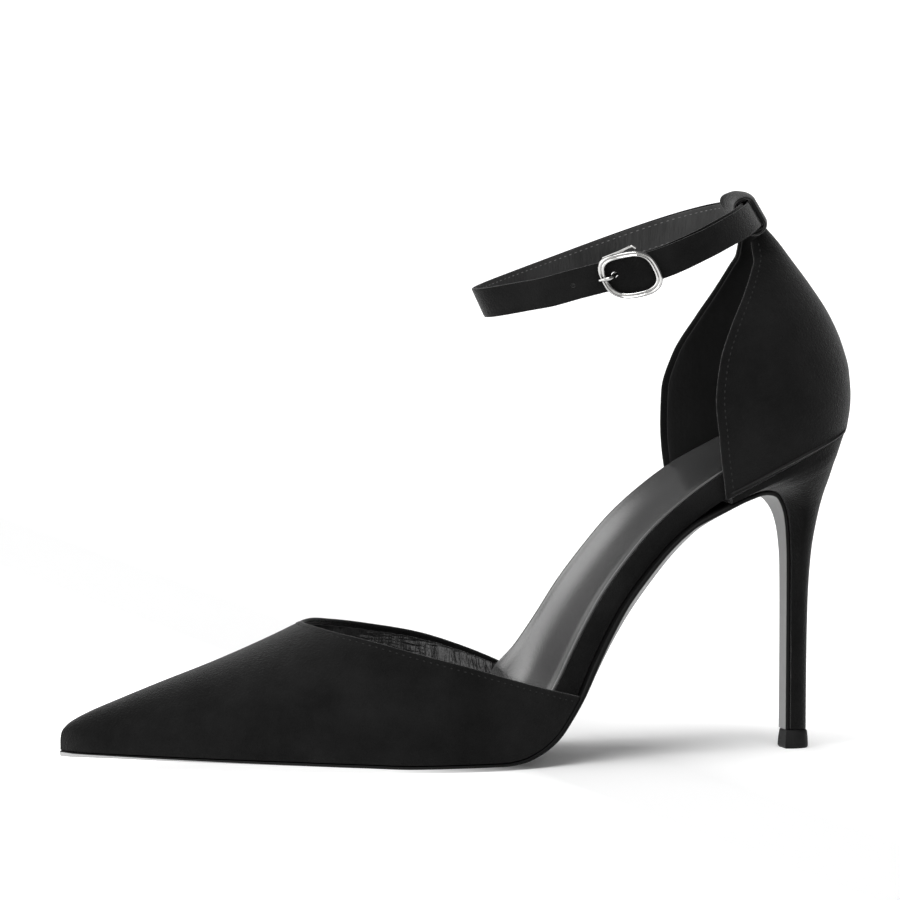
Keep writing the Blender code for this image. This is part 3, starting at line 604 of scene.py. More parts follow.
def vamp_point(x, angle, inward):
    """Vamp surface at x: angle 0 is the outer feather edge, pi / 2 the ridge, pi the inner edge."""
    outer = last_outer(x) - inward
    inner = last_inner(x) - inward
    crown = (inner - outer) / 2.0 + RIDGE_TO_INNER * smoothstep(CROWN_START_X, CROWN_END_X, x)
    reach = abs(math.cos(angle)) ** (2.0 / VAMP_SIDE_POWER)
    rise = max(math.sin(angle), 0.0) ** (2.0 / VAMP_TOP_POWER)
    edge = inner if angle > math.pi / 2.0 else -outer
    foot = last_bottom(x) + edge_lift(x, 1.0)
    height = ridge_z(x) - inward - foot
    return Vector((x, crown + (edge - crown) * reach, foot + height * rise))


def vamp_end(angle):
    """Where the ray at this angle meets the vamp's top edge."""
    topline = topline_inner if angle > math.pi / 2.0 else topline_outer
    low, high = THROAT_X, TOPLINE[-1].x
    for _ in range(HALVINGS):
        middle = (low + high) / 2.0
        if vamp_point(middle, angle, 0.0).z < topline(middle):
            low = middle
        else:
            high = middle
    return low


def quarter_point(level, side, u):
    """Quarter surface: u from 0 at the front edge to 1 at the back; side -1 is the outer side."""
    size = {name: profile(level) for name, profile in quarter.items()}
    front_x = size["inner_x" if side > 0 else "outer_x"]
    half = horseshoe(u, size["front_y"], size["full"], size["peak"], size["power"])
    x = front_x + (size["back_x"] - front_x) * u
    z = size["front_z"] + (size["back_z"] - size["front_z"]) * u
    seat = max(0.0, 1.0 - level / SEAT_CURVE_LEVELS)
    return Vector((x, side * half, z + (last_bottom(x) - z) * seat))


def ring_centre(angle):
    """Centre line of the strap; angle in degrees, 0 at the back and 90 on the outer side."""
    turn = math.radians(angle)
    along = Vector((math.cos(RING_TILT), 0.0, math.sin(RING_TILT))) * RING_LONG * math.cos(turn)
    wide = RING_WIDE * (1.0 + RING_EGG * math.cos(turn))
    rise = RING_ROLL * math.sin(turn) - RING_SAG * math.sin(turn) ** 2 + ring_rise(angle % 360.0)
    return RING_CENTRE + along + Vector((0.0, -wide * math.sin(turn), rise))


def strap_point(angle, across, out):
    """Point of the strap: across is up its width, out is away from the ankle."""
    lean = LEAN_FRONT + (LEAN_BACK - LEAN_FRONT) * (1.0 + math.cos(math.radians(angle))) / 2.0
    up = Vector((-math.sin(lean), 0.0, math.cos(lean)))
    along = ring_centre(angle + STRAP_SLOPE) - ring_centre(angle - STRAP_SLOPE)
    outward = up.cross(along).normalized()
    return ring_centre(angle) + up * across + outward * out


def free_end_step(angle):
    """Outward step of the strap where its free end lies on its fixed end."""
    return STRAP_OVERLAP * smoothstep(360.0 - STEP_START_ANGLE, 360.0 - STEP_END_ANGLE, -angle)


def strap_edge(angle):
    """Half-width of the strap, less towards its free end."""
    taper = smoothstep(360.0 - TAPER_START_ANGLE, 360.0 - TAPER_END_ANGLE, -angle)
    return STRAP_WIDE / 2.0 - STRAP_TIP_LESS * taper


def buckle_point(along, across, out):
    """Point near the buckle: along the strap from its middle bar, and out from its outer face."""
    angle = BUCKLE_ANGLE - math.degrees(along / RING_LONG)
    return strap_point(angle, across, STRAP_OVERLAP + STRAP_THICK / 2.0 + out)


# Shader nodes

class Value:
    """An output of a shader node; arithmetic on it adds Math nodes."""

    def __init__(self, look, socket):
        self.look = look
        self.socket = socket

    def math(self, operation, first, second):
        return self.look.add("ShaderNodeMath", {"operation": operation}, {0: first, 1: second})

    def __add__(self, other):
        return self.math("ADD", self, other)

    def __radd__(self, other):
        return self.math("ADD", other, self)

    def __sub__(self, other):
        return self.math("SUBTRACT", self, other)

    def __rsub__(self, other):
        return self.math("SUBTRACT", other, self)

    def __mul__(self, other):
        return self.math("MULTIPLY", self, other)

    def __rmul__(self, other):
        return self.math("MULTIPLY", other, self)


class Nodes:
    """The nodes of a material or of the room's light."""

    def __init__(self, tree):
        self.nodes = tree.nodes
        self.links = tree.links

    def add(self, kind, settings=None, sockets=None, output=0):
        """A node with its settings, then the values or links of its sockets."""
        node = self.nodes.new(kind)
        for name, value in (settings or {}).items():
            if name == "stops":
                for stop, (position, level) in zip(node.color_ramp.elements, value):
                    stop.position = position
                    stop.color = (level, level, level, 1.0)
            else:
                setattr(node, name, value)
        for name, value in (sockets or {}).items():
            if isinstance(value, Value):
                self.links.new(value.socket, node.inputs[name])
            else:
                node.inputs[name].default_value = value
        return Value(self, node.outputs[output])

    def ramp(self, value, low, high, first, second):
        """A value that goes from first at low to second at high."""
        return self.add("ShaderNodeMapRange", None, {"Value": value, "From Min": low, "From Max": high,
                                                     "To Min": first, "To Max": second})

    def part(self, vector, axis):
        """One axis of a vector."""
        return self.add("ShaderNodeSeparateXYZ", None, {0: vector}, output=axis)


class Look(Nodes):
    """A material of nodes round one shader, patterned on object coordinates."""

    def __init__(self, name, fixed):
        self.material = bpy.data.materials.new(name)
        self.material.use_nodes = True
        super().__init__(self.material.node_tree)
        self.shader = self.nodes["Principled BSDF"]
        for socket, value in fixed.items():
            self.shader.inputs[socket].default_value = value
        self.place = self.add("ShaderNodeTexCoord", output="Object")

    def noise(self, scale, detail=2.0, roughness=0.5, where=None):
        return self.add("ShaderNodeTexNoise", None, {"Vector": where or self.place, "Scale": scale,
                                                     "Detail": detail, "Roughness": roughness})

    def stretched(self, x, y, z):
        """Object coordinates with another scale along each axis."""
        return self.add("ShaderNodeVectorMath", {"operation": "MULTIPLY"}, {0: self.place, 1: (x, y, z)})

    def step(self, value, low, high):
        """A ramp from 0 at low to 1 at high."""
        return self.add("ShaderNodeValToRGB", {"stops": ((low, 0.0), (high, 1.0))}, {"Fac": value})

    def mix(self, share, first, second):
        """A colour between two colours."""
        return self.add("ShaderNodeMix", {"data_type": "RGBA"}, {0: share, 6: first, 7: second}, output=2)

    def feed(self, socket, value):
        self.links.new(value.socket, self.shader.inputs[socket])

    def bump(self, height, depth, strength=1.0):
        """Relief of a height in metres on the shader's normal."""
        self.feed("Normal", self.add("ShaderNodeBump", None,
                                     {"Height": height, "Distance": depth, "Strength": strength}))


def grey(level):
    return (level, level, level, 1.0)


def suede_look():
    """Black suede: a short nap, brushed patches and a soft sheen."""
    look = Look("black_suede", {"Specular IOR Level": SUEDE_GLOSS, "Sheen Weight": SUEDE_SHEEN,
                                "Sheen Roughness": 0.4})
    patches = look.noise(38.0, 3.0, 0.6)
    nap = look.noise(1500.0, 3.0, 0.65)
    fibres = look.noise(420.0, 4.0, 0.7)
    tone = look.step(patches, 0.36, 0.66) * 0.45 + fibres * 0.35 + nap * 0.4
    look.feed("Base Color", look.mix(tone, grey(SUEDE_DARK), grey(SUEDE_LIGHT)))
    look.feed("Roughness", 0.86 + nap * 0.14)
    look.bump(nap * 0.6 + fibres * 0.4, 0.0004, 1.0)
    return look.material


def lining_look(name, gloss, rough, dark, light, creased):
    """Black lining leather: glossy, with a fine pebble grain and upright creases."""
    look = Look(name, {"Specular IOR Level": gloss})
    grain = look.add("ShaderNodeTexVoronoi", {"feature": "SMOOTH_F1"},
                     {"Vector": look.place, "Scale": 900.0, "Smoothness": 0.6}, output="Distance")
    cloud = look.noise(60.0, 3.0, 0.55)
    look.feed("Base Color", look.mix(cloud, grey(dark), grey(light)))
    look.feed("Roughness", rough + cloud * 0.2)
    creases = look.noise(1.0, 3.0, 0.6, look.stretched(650.0, 120.0, 90.0))
    look.bump(grain * 0.7 + look.noise(2400.0) * 0.3 + creases * creased, 0.00010, 0.8)
    return look.material


def sock_look():
    """Dark grey sock leather: satin, with a fine irregular grain."""
    look = Look("sock_leather", {"Specular IOR Level": SOCK_GLOSS})
    grain = look.add("ShaderNodeTexVoronoi", {"feature": "SMOOTH_F1"},
                     {"Vector": look.place, "Scale": 1700.0, "Smoothness": 0.4}, output="Distance")
    pores = look.noise(1900.0, 3.0, 0.6)
    cloud = look.noise(45.0, 3.0, 0.6)
    look.feed("Base Color", look.mix(cloud * 0.6 + pores * 0.4, grey(SOCK_DARK), grey(SOCK_LIGHT)))
    look.feed("Roughness", SOCK_ROUGH + cloud * 0.06 + pores * 0.08)
    look.bump(grain * 0.65 + pores * 0.35, 0.00008, 0.5)
    return look.material


def sole_look():
    """Grey sole leather: smooth, with faint long fibres, a few rubbed places, and edges painted black,
    partly as stain and partly as painted shade.
    """
    look = Look("sole_leather", {"Specular IOR Level": 0.12})
    fibres = look.noise(1.0, 4.0, 0.6, look.stretched(60.0, 900.0, 60.0))
    rubbed = look.step(look.noise(70.0, 5.0, 0.7), 0.5, 0.72)
    around = look.part(look.add("ShaderNodeTexCoord", output="UV"), "X")
    up_edge = around.math("MINIMUM", around - FACE_SHARE, 1.0 - around) * (1.0 / (0.5 - FACE_SHARE))
    x = look.part(look.place, "X")
    # Black over the sole's edge along x: partly stain, partly painted shade where the edge sits in shadow
    # under the footbed
    start = look.ramp(x, STAIN_AND_SHADE_FRONT_X, STAIN_AND_SHADE_WAIST_X, STAIN_AND_SHADE_FRONT, STAIN_AND_SHADE_WAIST)
    start = start * look.ramp(x, STAIN_AND_SHADE_HEEL_X, STAIN_AND_SHADE_FLAP_X, 1.0, 0.0)
    stain_and_shade = look.ramp(up_edge - start, 0.0, 0.12, 0.0, 1.0)
    face = look.mix(fibres * 0.6 + rubbed * 0.35, grey(SOLE_DARK), grey(SOLE_LIGHT))
    look.feed("Base Color", look.mix(stain_and_shade, face, grey(STAIN_AND_SHADE_BLACK)))
    look.feed("Roughness", 0.42 + fibres * 0.2 + rubbed * 0.12)
    look.bump(fibres * 0.7 + look.noise(1600.0) * 0.3, 0.00008, 0.4)
    return look.material


def tip_look():
    """Hard black plastic of the top piece, lightly scuffed."""
    look = Look("tip_plastic", {"Specular IOR Level": 0.15})
    speck = look.noise(2200.0, 2.0, 0.6)
    scuff = look.step(look.noise(1.0, 4.0, 0.7, look.stretched(300.0, 300.0, 1400.0)), 0.52, 0.7)
    look.feed("Base Color", look.mix(scuff * 0.5 + speck * 0.3, grey(0.005), grey(0.012)))
    look.feed("Roughness", 0.42 + speck * 0.12 + scuff * 0.15)
    look.bump(speck + scuff * 0.4, 0.00004, 0.4)
    return look.material


def nickel_look():
    """Polished nickel with fine polishing marks."""
    look = Look("polished_nickel", {"Metallic": 1.0})
    marks = look.noise(1.0, 4.0, 0.7, look.stretched(400.0, 2600.0, 2600.0))
    cloud = look.noise(240.0, 2.0, 0.5)
    look.feed("Base Color", look.mix(cloud, (0.4, 0.398, 0.392, 1.0), (0.58, 0.577, 0.568, 1.0)))
    look.feed("Roughness", 0.08 + marks * 0.1)
    look.bump(marks, 0.00001, 0.35)
    return look.material


def thread_look(name, dark, light):
    """Sewing thread: twisted, with a dull shine."""
    look = Look(name, {"Specular IOR Level": 0.15})
    twist = look.noise(3200.0, 2.0, 0.5)
    look.feed("Base Color", look.mix(twist, grey(dark), grey(light)))
    look.feed("Roughness", 0.5 + twist * 0.2)
    look.bump(twist, 0.00005, 0.5)
    return look.material


# Pieces

def sheet(columns, rows, place, capped=False):
    """A grid laid out by place(u, v), u and v from 0 to 1, its seams closed and its open ends filled."""
    bm = bmesh.new()
    bm.loops.layers.uv.new("grid")
    bmesh.ops.create_grid(bm, x_segments=columns, y_segments=rows, size=0.5, calc_uvs=True)
    for vert in bm.verts:
        u = min(max(vert.co.x + 0.5, 0.0), 1.0)
        v = min(max(vert.co.y + 0.5, 0.0), 1.0)
        vert.co = place(u, v) * MM
    bmesh.ops.remove_doubles(bm, verts=bm.verts, dist=MERGE_DISTANCE)
    if capped:
        bmesh.ops.holes_fill(bm, edges=[edge for edge in bm.edges if edge.is_boundary], sides=0)
    bmesh.ops.recalc_face_normals(bm, faces=bm.faces)
    return bm


def new_piece(name, bm, material, slot, *nodes):
    """Keep a shape as a piece of the shoe, standing for the solids that it replaces."""
    mesh = bpy.data.meshes.new(name)
    bm.to_mesh(mesh)
    bm.free()
    mesh.materials.append(material)
    mesh.shade_smooth()
    mesh.set_sharp_from_angle(angle=math.radians(SHARP_ANGLE))
    piece = bpy.data.objects.new(name, mesh)
    bpy.context.scene.collection.objects.link(piece)
    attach(piece, "root")
    if nodes:
        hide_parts(*nodes)
    return piece


def ends_closer(share, keep):
    """Spread 0 to 1 with closer steps at both ends."""
    return share - (1.0 - keep) * math.sin(2.0 * math.pi * share) / (2.0 * math.pi)


def slab(columns, rows, at, bulge):
    """Closed slab of at(along, across, inset, share): lower face, one edge, upper face, other edge."""
    def place(u, v):
        along = min(max((v * rows - 1.0) / (rows - 2.0), 0.0), 1.0)
        reach, share = there_and_back(u, FACE_SHARE)
        inset = bulge * (1.0 - max(math.sin(math.pi * share), 0.0) ** EDGE_POWER)
        if not 0.5 < v * rows < rows - 0.5:
            share = 0.5
        return at(along, 2.0 * reach - 1.0, inset, share)

    return sheet(columns, rows, place)


# Stitches

def stitch_row(name, path, material, slot, pitch, size):
    """Stitches along a path of (point, normal) pairs: each a small flattened bead."""
    travel = lengths_along([point for point, _ in path])
    count = int(travel[-1] / pitch)
    bm = bmesh.new()
    for i in range(count):
        target = (i + 0.5) * travel[-1] / count
        k = min(max(bisect(travel, target) - 1, 0), len(path) - 2)
        share = (target - travel[k]) / (travel[k + 1] - travel[k])
        point = path[k][0].lerp(path[k + 1][0], share)
        normal = path[k][1].lerp(path[k + 1][1], share).normalized()
        along = (path[k + 1][0] - path[k][0]).normalized()
        across = normal.cross(along).normalized()
        turn = Matrix((along, across, normal)).transposed().to_4x4()
        spot = Matrix.Translation(point * MM) @ turn @ Matrix.Diagonal((*(Vector(size) * MM), 1.0))
        bmesh.ops.create_uvsphere(bm, u_segments=STITCH_SIDES, v_segments=STITCH_RINGS, radius=0.5,
                                  matrix=spot)
    new_piece(name, bm, material, slot)


# Sole, footbed and sock

def sole_rows():
    """Lower face of the sole by its length: from the toe along the last, then down the heel's front."""
    rows = []
    for x in last_stations(TOE_X + TIP_CUT, LAST_SOLE_X, SOLE_STATIONS):
        base = last_point(x, 0.0, last_outer(x), last_inner(x), -GAP - sole_thick(x))
        rows.append((base.x, base.z, last_outer(x), last_inner(x), sole_thick(x)))
    for i in range(FLAP_STATIONS):
        level = HEEL[-1].level * i / (FLAP_STATIONS - 1)
        half = heel["flap_half"](level)
        rows.append((heel["flap_x"](level), heel["flap_z"](level), half, half, SOLE_THICK))
    travel = lengths_along([row[:2] for row in rows])
    return table("s x z outer inner thick", [(s, *row) for s, row in zip(travel, rows)])


def make_outsole(look):
    path = sole_rows()
    x_at, z_at, outer_at, inner_at, thick_at = (Profile(path, "s", name) for name in path[0]._fields[1:])
    length = path[-1].s

    def at(along, across, inset, share):
        s = length * along ** TOE_STATION_POWER
        x, z = x_at(s), z_at(s)
        before, after = s - SOLE_SLOPE, s + SOLE_SLOPE
        tangent = Vector((x_at(after) - x_at(before), 0.0, z_at(after) - z_at(before))).normalized()
        outer, inner = outer_at(s), inner_at(s)
        half = inset_width((inner + outer) / 2.0, inset)
        lift = edge_lift(x, across) if s < length / 2.0 else 0.0
        lift *= 1.0 + SOLE_EDGE_CUT * (1.0 - share)
        low = Vector((x, (inner - outer) / 2.0 + half * across, z + lift))
        return low + Vector((-tangent.z, 0.0, tangent.x)) * thick_at(s) * share

    bm = slab(SLAB_COLUMNS, OUTSOLE_ROWS, at, OUTSOLE_ROUND)
    new_piece("outsole_leather", bm, look, "sole_leather", "outsole")


def make_inner_sheet(name, look, slot, node, first, final, inset, low, high, bulge):
    """A sheet inside the outline of the last, between two height functions."""
    stretch = (LAST[-1].x - TOE_X) / (final - first)
    stations = last_stations(first, final, SHEET_STATIONS)
    spots = table("share x", [(i / (SHEET_STATIONS - 1), x) for i, x in enumerate(stations)])
    x_at = Profile(spots, "share", "x")

    def at(along, across, inward, share):
        x = x_at(ends_closer(along, END_STEP_KEEP))
        on_last = min(max(TOE_X + (x - first) * stretch, TOE_X + TIP_CUT), LAST[-1].x - TIP_CUT)
        middle = (last_inner(on_last) - last_outer(on_last)) / 2.0
        half = inset_width((last_inner(on_last) + last_outer(on_last)) / 2.0, inset)
        half = max(half - inward, LEAST_HALF_SHARE * half)
        height = low(x, across) + (high(x, across) - low(x, across)) * share
        return last_point(x, across, half - middle, half + middle, height)

    new_piece(name, slab(SLAB_COLUMNS, INNER_SHEET_ROWS, at, bulge), look, slot, node)


def make_footbed(look):
    make_inner_sheet("footbed_suede", look, "suede", "footbed", TOE_X + BOARD_TOE,
                     LAST[-1].x - BOARD_INSET, BOARD_INSET - FOOTBED_SWELL,
                     lambda x, v: 0.0, board_top, FOOTBED_ROUND)


def sock_top(x, v):
    """Height of the sock's upper face, whose two edges roll down."""
    roll = SOCK_ROLL_INNER if v > 0.0 else SOCK_ROLL_OUTER
    return board_top(x, v) + GAP + SOCK_THICK - roll * smoothstep(SOCK_ROLL_START, 1.0, abs(v))


def make_sock(look):
    inset = BOARD_INSET + SOCK_INSET
    make_inner_sheet("insole_sock_leather", look, "sock_leather", "insole_sock", TOE_X + SOCK_TOE,
                     LAST[-1].x - inset - SOCK_HEEL, inset,
                     lambda x, v: board_top(x, v) + SOCK_OVER_FOOTBED, sock_top, SOCK_ROUND)


# Vamp

class Ray:
    """One line over the vamp at a fixed angle, from the nose to its top edge."""

    def __init__(self, angle):
        self.angle = angle
        self.end = vamp_end(angle)
        edge_a = min(max(angle - RAY_NUDGE, 0.0), math.pi)
        edge_b = min(max(angle + RAY_NUDGE, 0.0), math.pi)
        edge = vamp_point(vamp_end(edge_b), edge_b, 0.0) - vamp_point(vamp_end(edge_a), edge_a, 0.0)
        self.top = vamp_point(self.end, angle, 0.0)
        ray = self.top - vamp_point(self.end - RAY_STEP, angle, 0.0)
        self.edge = edge.normalized()
        self.normal = ray.cross(edge).normalized()
        if self.normal.dot(self.top - Vector((self.end, 0.0, 0.0))) < 0.0:
            self.normal = -self.normal
        self.up = self.edge.cross(self.normal).normalized()
        if self.up.dot(ray) < 0.0:
            self.up = -self.up
        slant = max(ray.normalized().dot(self.up), LEAST_SLANT)
        self.reach = ray.normalized().x / slant

    def below(self, distance, inward):
        """Point this far under the top edge, measured square to the edge."""
        return vamp_point(self.end - distance * self.reach, self.angle, inward)


@cache
def vamp_ray(column):
    return Ray(math.pi * column / VAMP_COLUMNS)


def vamp_layer(rows, low, high, drop, nose, relief):
    """A closed layer of the vamp between two depths, with a rounded edge this far under the top edge."""
    radius = (high - low) / 2.0

    def place(u, v):
        turn, depth = there_and_back(u, LAYER_SHARE)
        ray = vamp_ray(round(turn * VAMP_COLUMNS))
        first = TOE_X + nose + NOSE_INNER_X * depth
        last = ray.end - (drop + radius) * ray.reach
        if v < VAMP_ROLL_START:
            t = ends_closer(v / VAMP_ROLL_START, VAMP_STEP_KEEP)
            x = first + (last - first) * t
            point = vamp_point(x, ray.angle, low + (high - low) * depth + relief(x, ray.angle))
            narrow = 1.0 - max(0.0, 1.0 - t / NOSE_ROUND_SHARE) ** 2
            middle = (last_inner(x) - last_outer(x)) / 2.0
            point.y = middle + (point.y - middle) * math.sqrt(narrow)
            return point
        roll = 0.5 * math.pi * (v - VAMP_ROLL_START) / (1.0 - VAMP_ROLL_START)
        base = vamp_point(last, ray.angle, low + relief(last, ray.angle))
        inward = radius * (1.0 - math.cos(roll) * (1.0 - 2.0 * depth))
        return base + ray.up * radius * math.sin(roll) - ray.normal * inward

    return sheet(LAYER_COLUMNS, rows, place)


def lining_wrinkle(x, angle):
    """Inward relief of the loose lining and its small upright wrinkles on the inner side of the foot."""
    swell = 0.0
    for row in WRINKLES:
        away = (x - row.x - row.lean * (angle - WRINKLE_ANGLE)) / row.half
        swell += WRINKLE_DEPTH * row.depth * math.exp(-away * away)
    drop = topline_inner(x) - vamp_point(x, angle, 0.0).z
    swell += LINING_SAG * smoothstep(0.0, LINING_SAG_DROP, drop)
    return swell * smoothstep(LOOSE_START_ANGLE, LOOSE_FULL_ANGLE, angle)


def make_vamp(suede, lining):
    """Suede folded over the top edge, and the leather lining with its edge a little lower."""
    outside = vamp_layer(VAMP_ROWS, 0.0, VAMP_FOLD, 0.0, TIP_CUT, lambda x, angle: 0.0)
    new_piece("vamp_suede", outside, suede, "suede", "vamp")
    inside = vamp_layer(VAMP_LINING_ROWS, VAMP_FOLD + LAYER_GAP, VAMP_FOLD + LINING_THICK, LINING_DROP,
                        LINING_NOSE, lining_wrinkle)
    new_piece("vamp_lining", inside, lining, "suede", "vamp")


def make_vamp_stitches(thread):
    path = []
    for i in range(2, VAMP_COLUMNS - 1):
        ray = vamp_ray(i)
        path.append((ray.below(STITCH_DROP, -VAMP_STITCH_OUT), ray.normal))
    stitch_row("vamp_stitches", path, thread, "suede", VAMP_STITCH_PITCH, VAMP_STITCH)


# Quarter

def quarter_surface(s, level):
    """Quarter by s from -1 at the outer front edge over 0 at the back to 1 at the inner one."""
    side = -1.0 if s < 0.0 else 1.0
    return quarter_point(level, side, math.sin(0.5 * math.pi * (1.0 - min(abs(s), 1.0))))


def quarter_frame(s, level):
    """Point of the quarter, its direction along s and its outward normal."""
    along = quarter_surface(s + SLOPE_SHARE, level) - quarter_surface(s - SLOPE_SHARE, level)
    up = quarter_surface(s, level + SLOPE_LEVEL) - quarter_surface(s, level - SLOPE_LEVEL)
    along.normalize()
    return quarter_surface(s, level), along, along.cross(up).normalized()


def wrap_wall(columns, rows, edge, outer_in, inner_in):
    """A wall round the heel with rounded front edges, between two depths under the quarter's surface."""
    middle = (inner_in + outer_in) / 2.0

    def place(u, v, spread_out):
        level = QUARTER[-1].level * v
        radius = spread_out * (inner_in - outer_in) / 2.0
        reach, over = there_and_back(u, WALL_SHARE)
        s, turn = edge * (2.0 * reach - 1.0), math.pi * over
        point, along, normal = quarter_frame(s, level)
        forward = math.copysign(math.sin(turn), s) if abs(s) == edge else 0.0
        return point + along * radius * forward - normal * (middle - radius * math.cos(turn))

    def row_place(u, v):
        share = min(max((v * rows - 1.0) / (rows - 2.0), 0.0), 1.0)
        if 0.5 < v * rows < rows - 0.5:
            return place(u, share, 1.0)
        return place(u, share, 0.0)

    return sheet(columns, rows, row_place)


def make_quarter(suede, lining, thread):
    outside = wrap_wall(QUARTER_COLUMNS, QUARTER_ROWS, QUARTER_EDGE, 0.0, QUARTER_FOLD)
    new_piece("quarter_suede", outside, suede, "suede", "quarter")
    inside = wrap_wall(QUARTER_LINING_COLUMNS, QUARTER_ROWS, QUARTER_LINING_EDGE, QUARTER_FOLD + LAYER_GAP,
                       QUARTER_WALL)
    new_piece("quarter_lining", inside, lining, "suede", "quarter")
    for side, name in ((-1.0, "outer"), (1.0, "inner")):
        path = []
        for i in range(QUARTER_STITCH_FIRST, QUARTER_STITCH_LAST + 1):
            level = QUARTER[-1].level * i / QUARTER_STITCH_POINTS
            point, along, normal = quarter_frame(side * QUARTER_EDGE, level)
            path.append((point - along * side * STITCH_DROP_QUARTER + normal * QUARTER_STITCH_OUT, normal))
        stitch_row("quarter_stitches_" + name, path, thread, "suede", QUARTER_STITCH_PITCH, QUARTER_STITCH)


# Heel and top piece

def ring_point(u, front, back, half_front, full, peak, power):
    """D-shaped ring, u from 0 to 1: outer side to the back, inner side to the front, then across it."""
    if u < RING_SIDE_SHARE:
        reach = math.sin(0.5 * math.pi * u / RING_SIDE_SHARE)
        return front.lerp(back, reach) - Vector((0.0, horseshoe(reach, half_front, full, peak, power), 0.0))
    if u < 2.0 * RING_SIDE_SHARE:
        reach = math.sin(0.5 * math.pi * (2.0 - u / RING_SIDE_SHARE))
        return front.lerp(back, reach) + Vector((0.0, horseshoe(reach, half_front, full, peak, power), 0.0))
    across = 1.0 - 2.0 * (u - 2.0 * RING_SIDE_SHARE) / (1.0 - 2.0 * RING_SIDE_SHARE)
    return front + Vector((0.0, half_front * across, 0.0))


def make_heel(look):
    heel_rows = [{name: heel[name](level) for name in heel} for level in
                 [HEEL[-1].level * i / HEEL_LEVELS for i in range(HEEL_LEVELS + 1)]]

    def flap_front(i):
        before = heel_rows[max(i - 1, 0)]
        after = heel_rows[min(i + 1, HEEL_LEVELS)]
        along = Vector((after["flap_x"] - before["flap_x"], 0.0, after["flap_z"] - before["flap_z"]))
        along.normalize()
        base = Vector((heel_rows[i]["flap_x"], 0.0, heel_rows[i]["flap_z"]))
        return base + Vector((-along.z, 0.0, along.x)) * (SOLE_THICK + GAP)

    def place(u, v):
        i = round(v * (HEEL_LEVELS + HEEL_SEAT_ROWS)) - HEEL_SEAT_ROWS
        row = heel_rows[max(i, 0)]
        front = flap_front(max(i, 0))
        back = Vector((row["back_x"], 0.0, row["back_z"]))
        if i == HEEL_LEVELS:
            front.z = back.z
        point = ring_point(u, front, back, row["flap_half"] + HEEL_OVER_FLAP, row["full"], row["peak"],
                           row["power"])
        if i >= 0:
            return point
        top = HEEL[0]
        seat = ring_point(u, Vector((SEAT_FRONT_X, 0.0, 0.0)), Vector((SEAT_BACK_X, 0.0, 0.0)),
                          top.flap_half + 2.0 * HEEL_OVER_FLAP, top.full, top.peak, top.power)
        seat.z = last_bottom(seat.x) - GAP - SEAT_EASE
        return point.lerp(seat, -i / HEEL_SEAT_ROWS)

    bm = sheet(HEEL_COLUMNS, HEEL_LEVELS + HEEL_SEAT_ROWS, place, capped=True)
    new_piece("heel_cover", bm, look, "suede", "heel")


def make_heel_tip(look):
    rows = sorted(TIP, key=lambda row: row.z)
    front_at, back_at, half_at = (Profile(rows, "z", name) for name in TIP[0]._fields[1:])

    def place(u, v):
        z = rows[-1].z * ends_closer(v, TIP_STEP_KEEP)
        return ring_point(u, Vector((front_at(z), 0.0, z)), Vector((back_at(z), 0.0, z)),
                          half_at(z) - TIP_FRONT_LESS, half_at(z), TIP_PEAK, TIP_POWER)

    bm = sheet(TIP_COLUMNS, TIP_ROWS, place, capped=True)
    new_piece("heel_tip_piece", bm, look, "tip_plastic", "heel_tip")


# Ankle strap and its loop

def rounded(u, half_wide, half_thick):
    """Rounded rectangle as (across, out), u from 0 to 1 round it."""
    turn = 2.0 * math.pi * u
    across = math.copysign(abs(math.cos(turn)) ** (2.0 / BAND_POWER), math.cos(turn))
    out = math.copysign(abs(math.sin(turn)) ** (2.0 / BAND_POWER), math.sin(turn))
    return half_wide * across, half_thick * out


def rounded_box(u, half_wide, half_thick, corner):
    """Rectangle with round corners as (across, out), u from 0 to 1 round it."""
    turn = 4.0 * u % 4.0
    side = int(turn)
    lean = 0.5 * math.pi * (turn - side)
    reach = ((1, 1), (-1, 1), (-1, -1), (1, -1))[side]
    swing = ((math.cos(lean), math.sin(lean)), (math.sin(lean), math.cos(lean)))[side % 2]
    across = reach[0] * (half_wide - corner + corner * swing[0])
    out = reach[1] * (half_thick - corner + corner * swing[1])
    return across, out


def buckle_away(angle):
    """Degrees from the buckle on either turn of the strap."""
    return abs((angle - BUCKLE_ANGLE + 180.0) % 360.0 - 180.0)


def strap_layer(inset, low, high):
    """One layer of the strap from the buckle's bar round to its rounded free end."""
    start = BUCKLE_ANGLE - math.degrees(FIXED_END_SETBACK / RING_LONG)
    end = STRAP_TIP_ANGLE - 360.0

    def place(u, v):
        angle = start + (end - start) * v
        tip = max(0.0, 1.0 - (angle - end) / STRAP_TIP_ROUND)
        half_wide = (strap_edge(angle) - inset) * math.sqrt(1.0 - STRAP_TIP_NARROW * tip * tip)
        across, out = rounded(u, half_wide, (high - low) / 2.0)
        if across < 0.0:
            tab = TAB_DROP * (1.0 - smoothstep(TAB_FULL_ANGLE, TAB_END_ANGLE, buckle_away(angle)))
            across *= 1.0 + tab / half_wide
        return strap_point(angle, across, free_end_step(angle) + (low + high) / 2.0 + out)

    return sheet(STRAP_COLUMNS, STRAP_ROWS, place, capped=True)


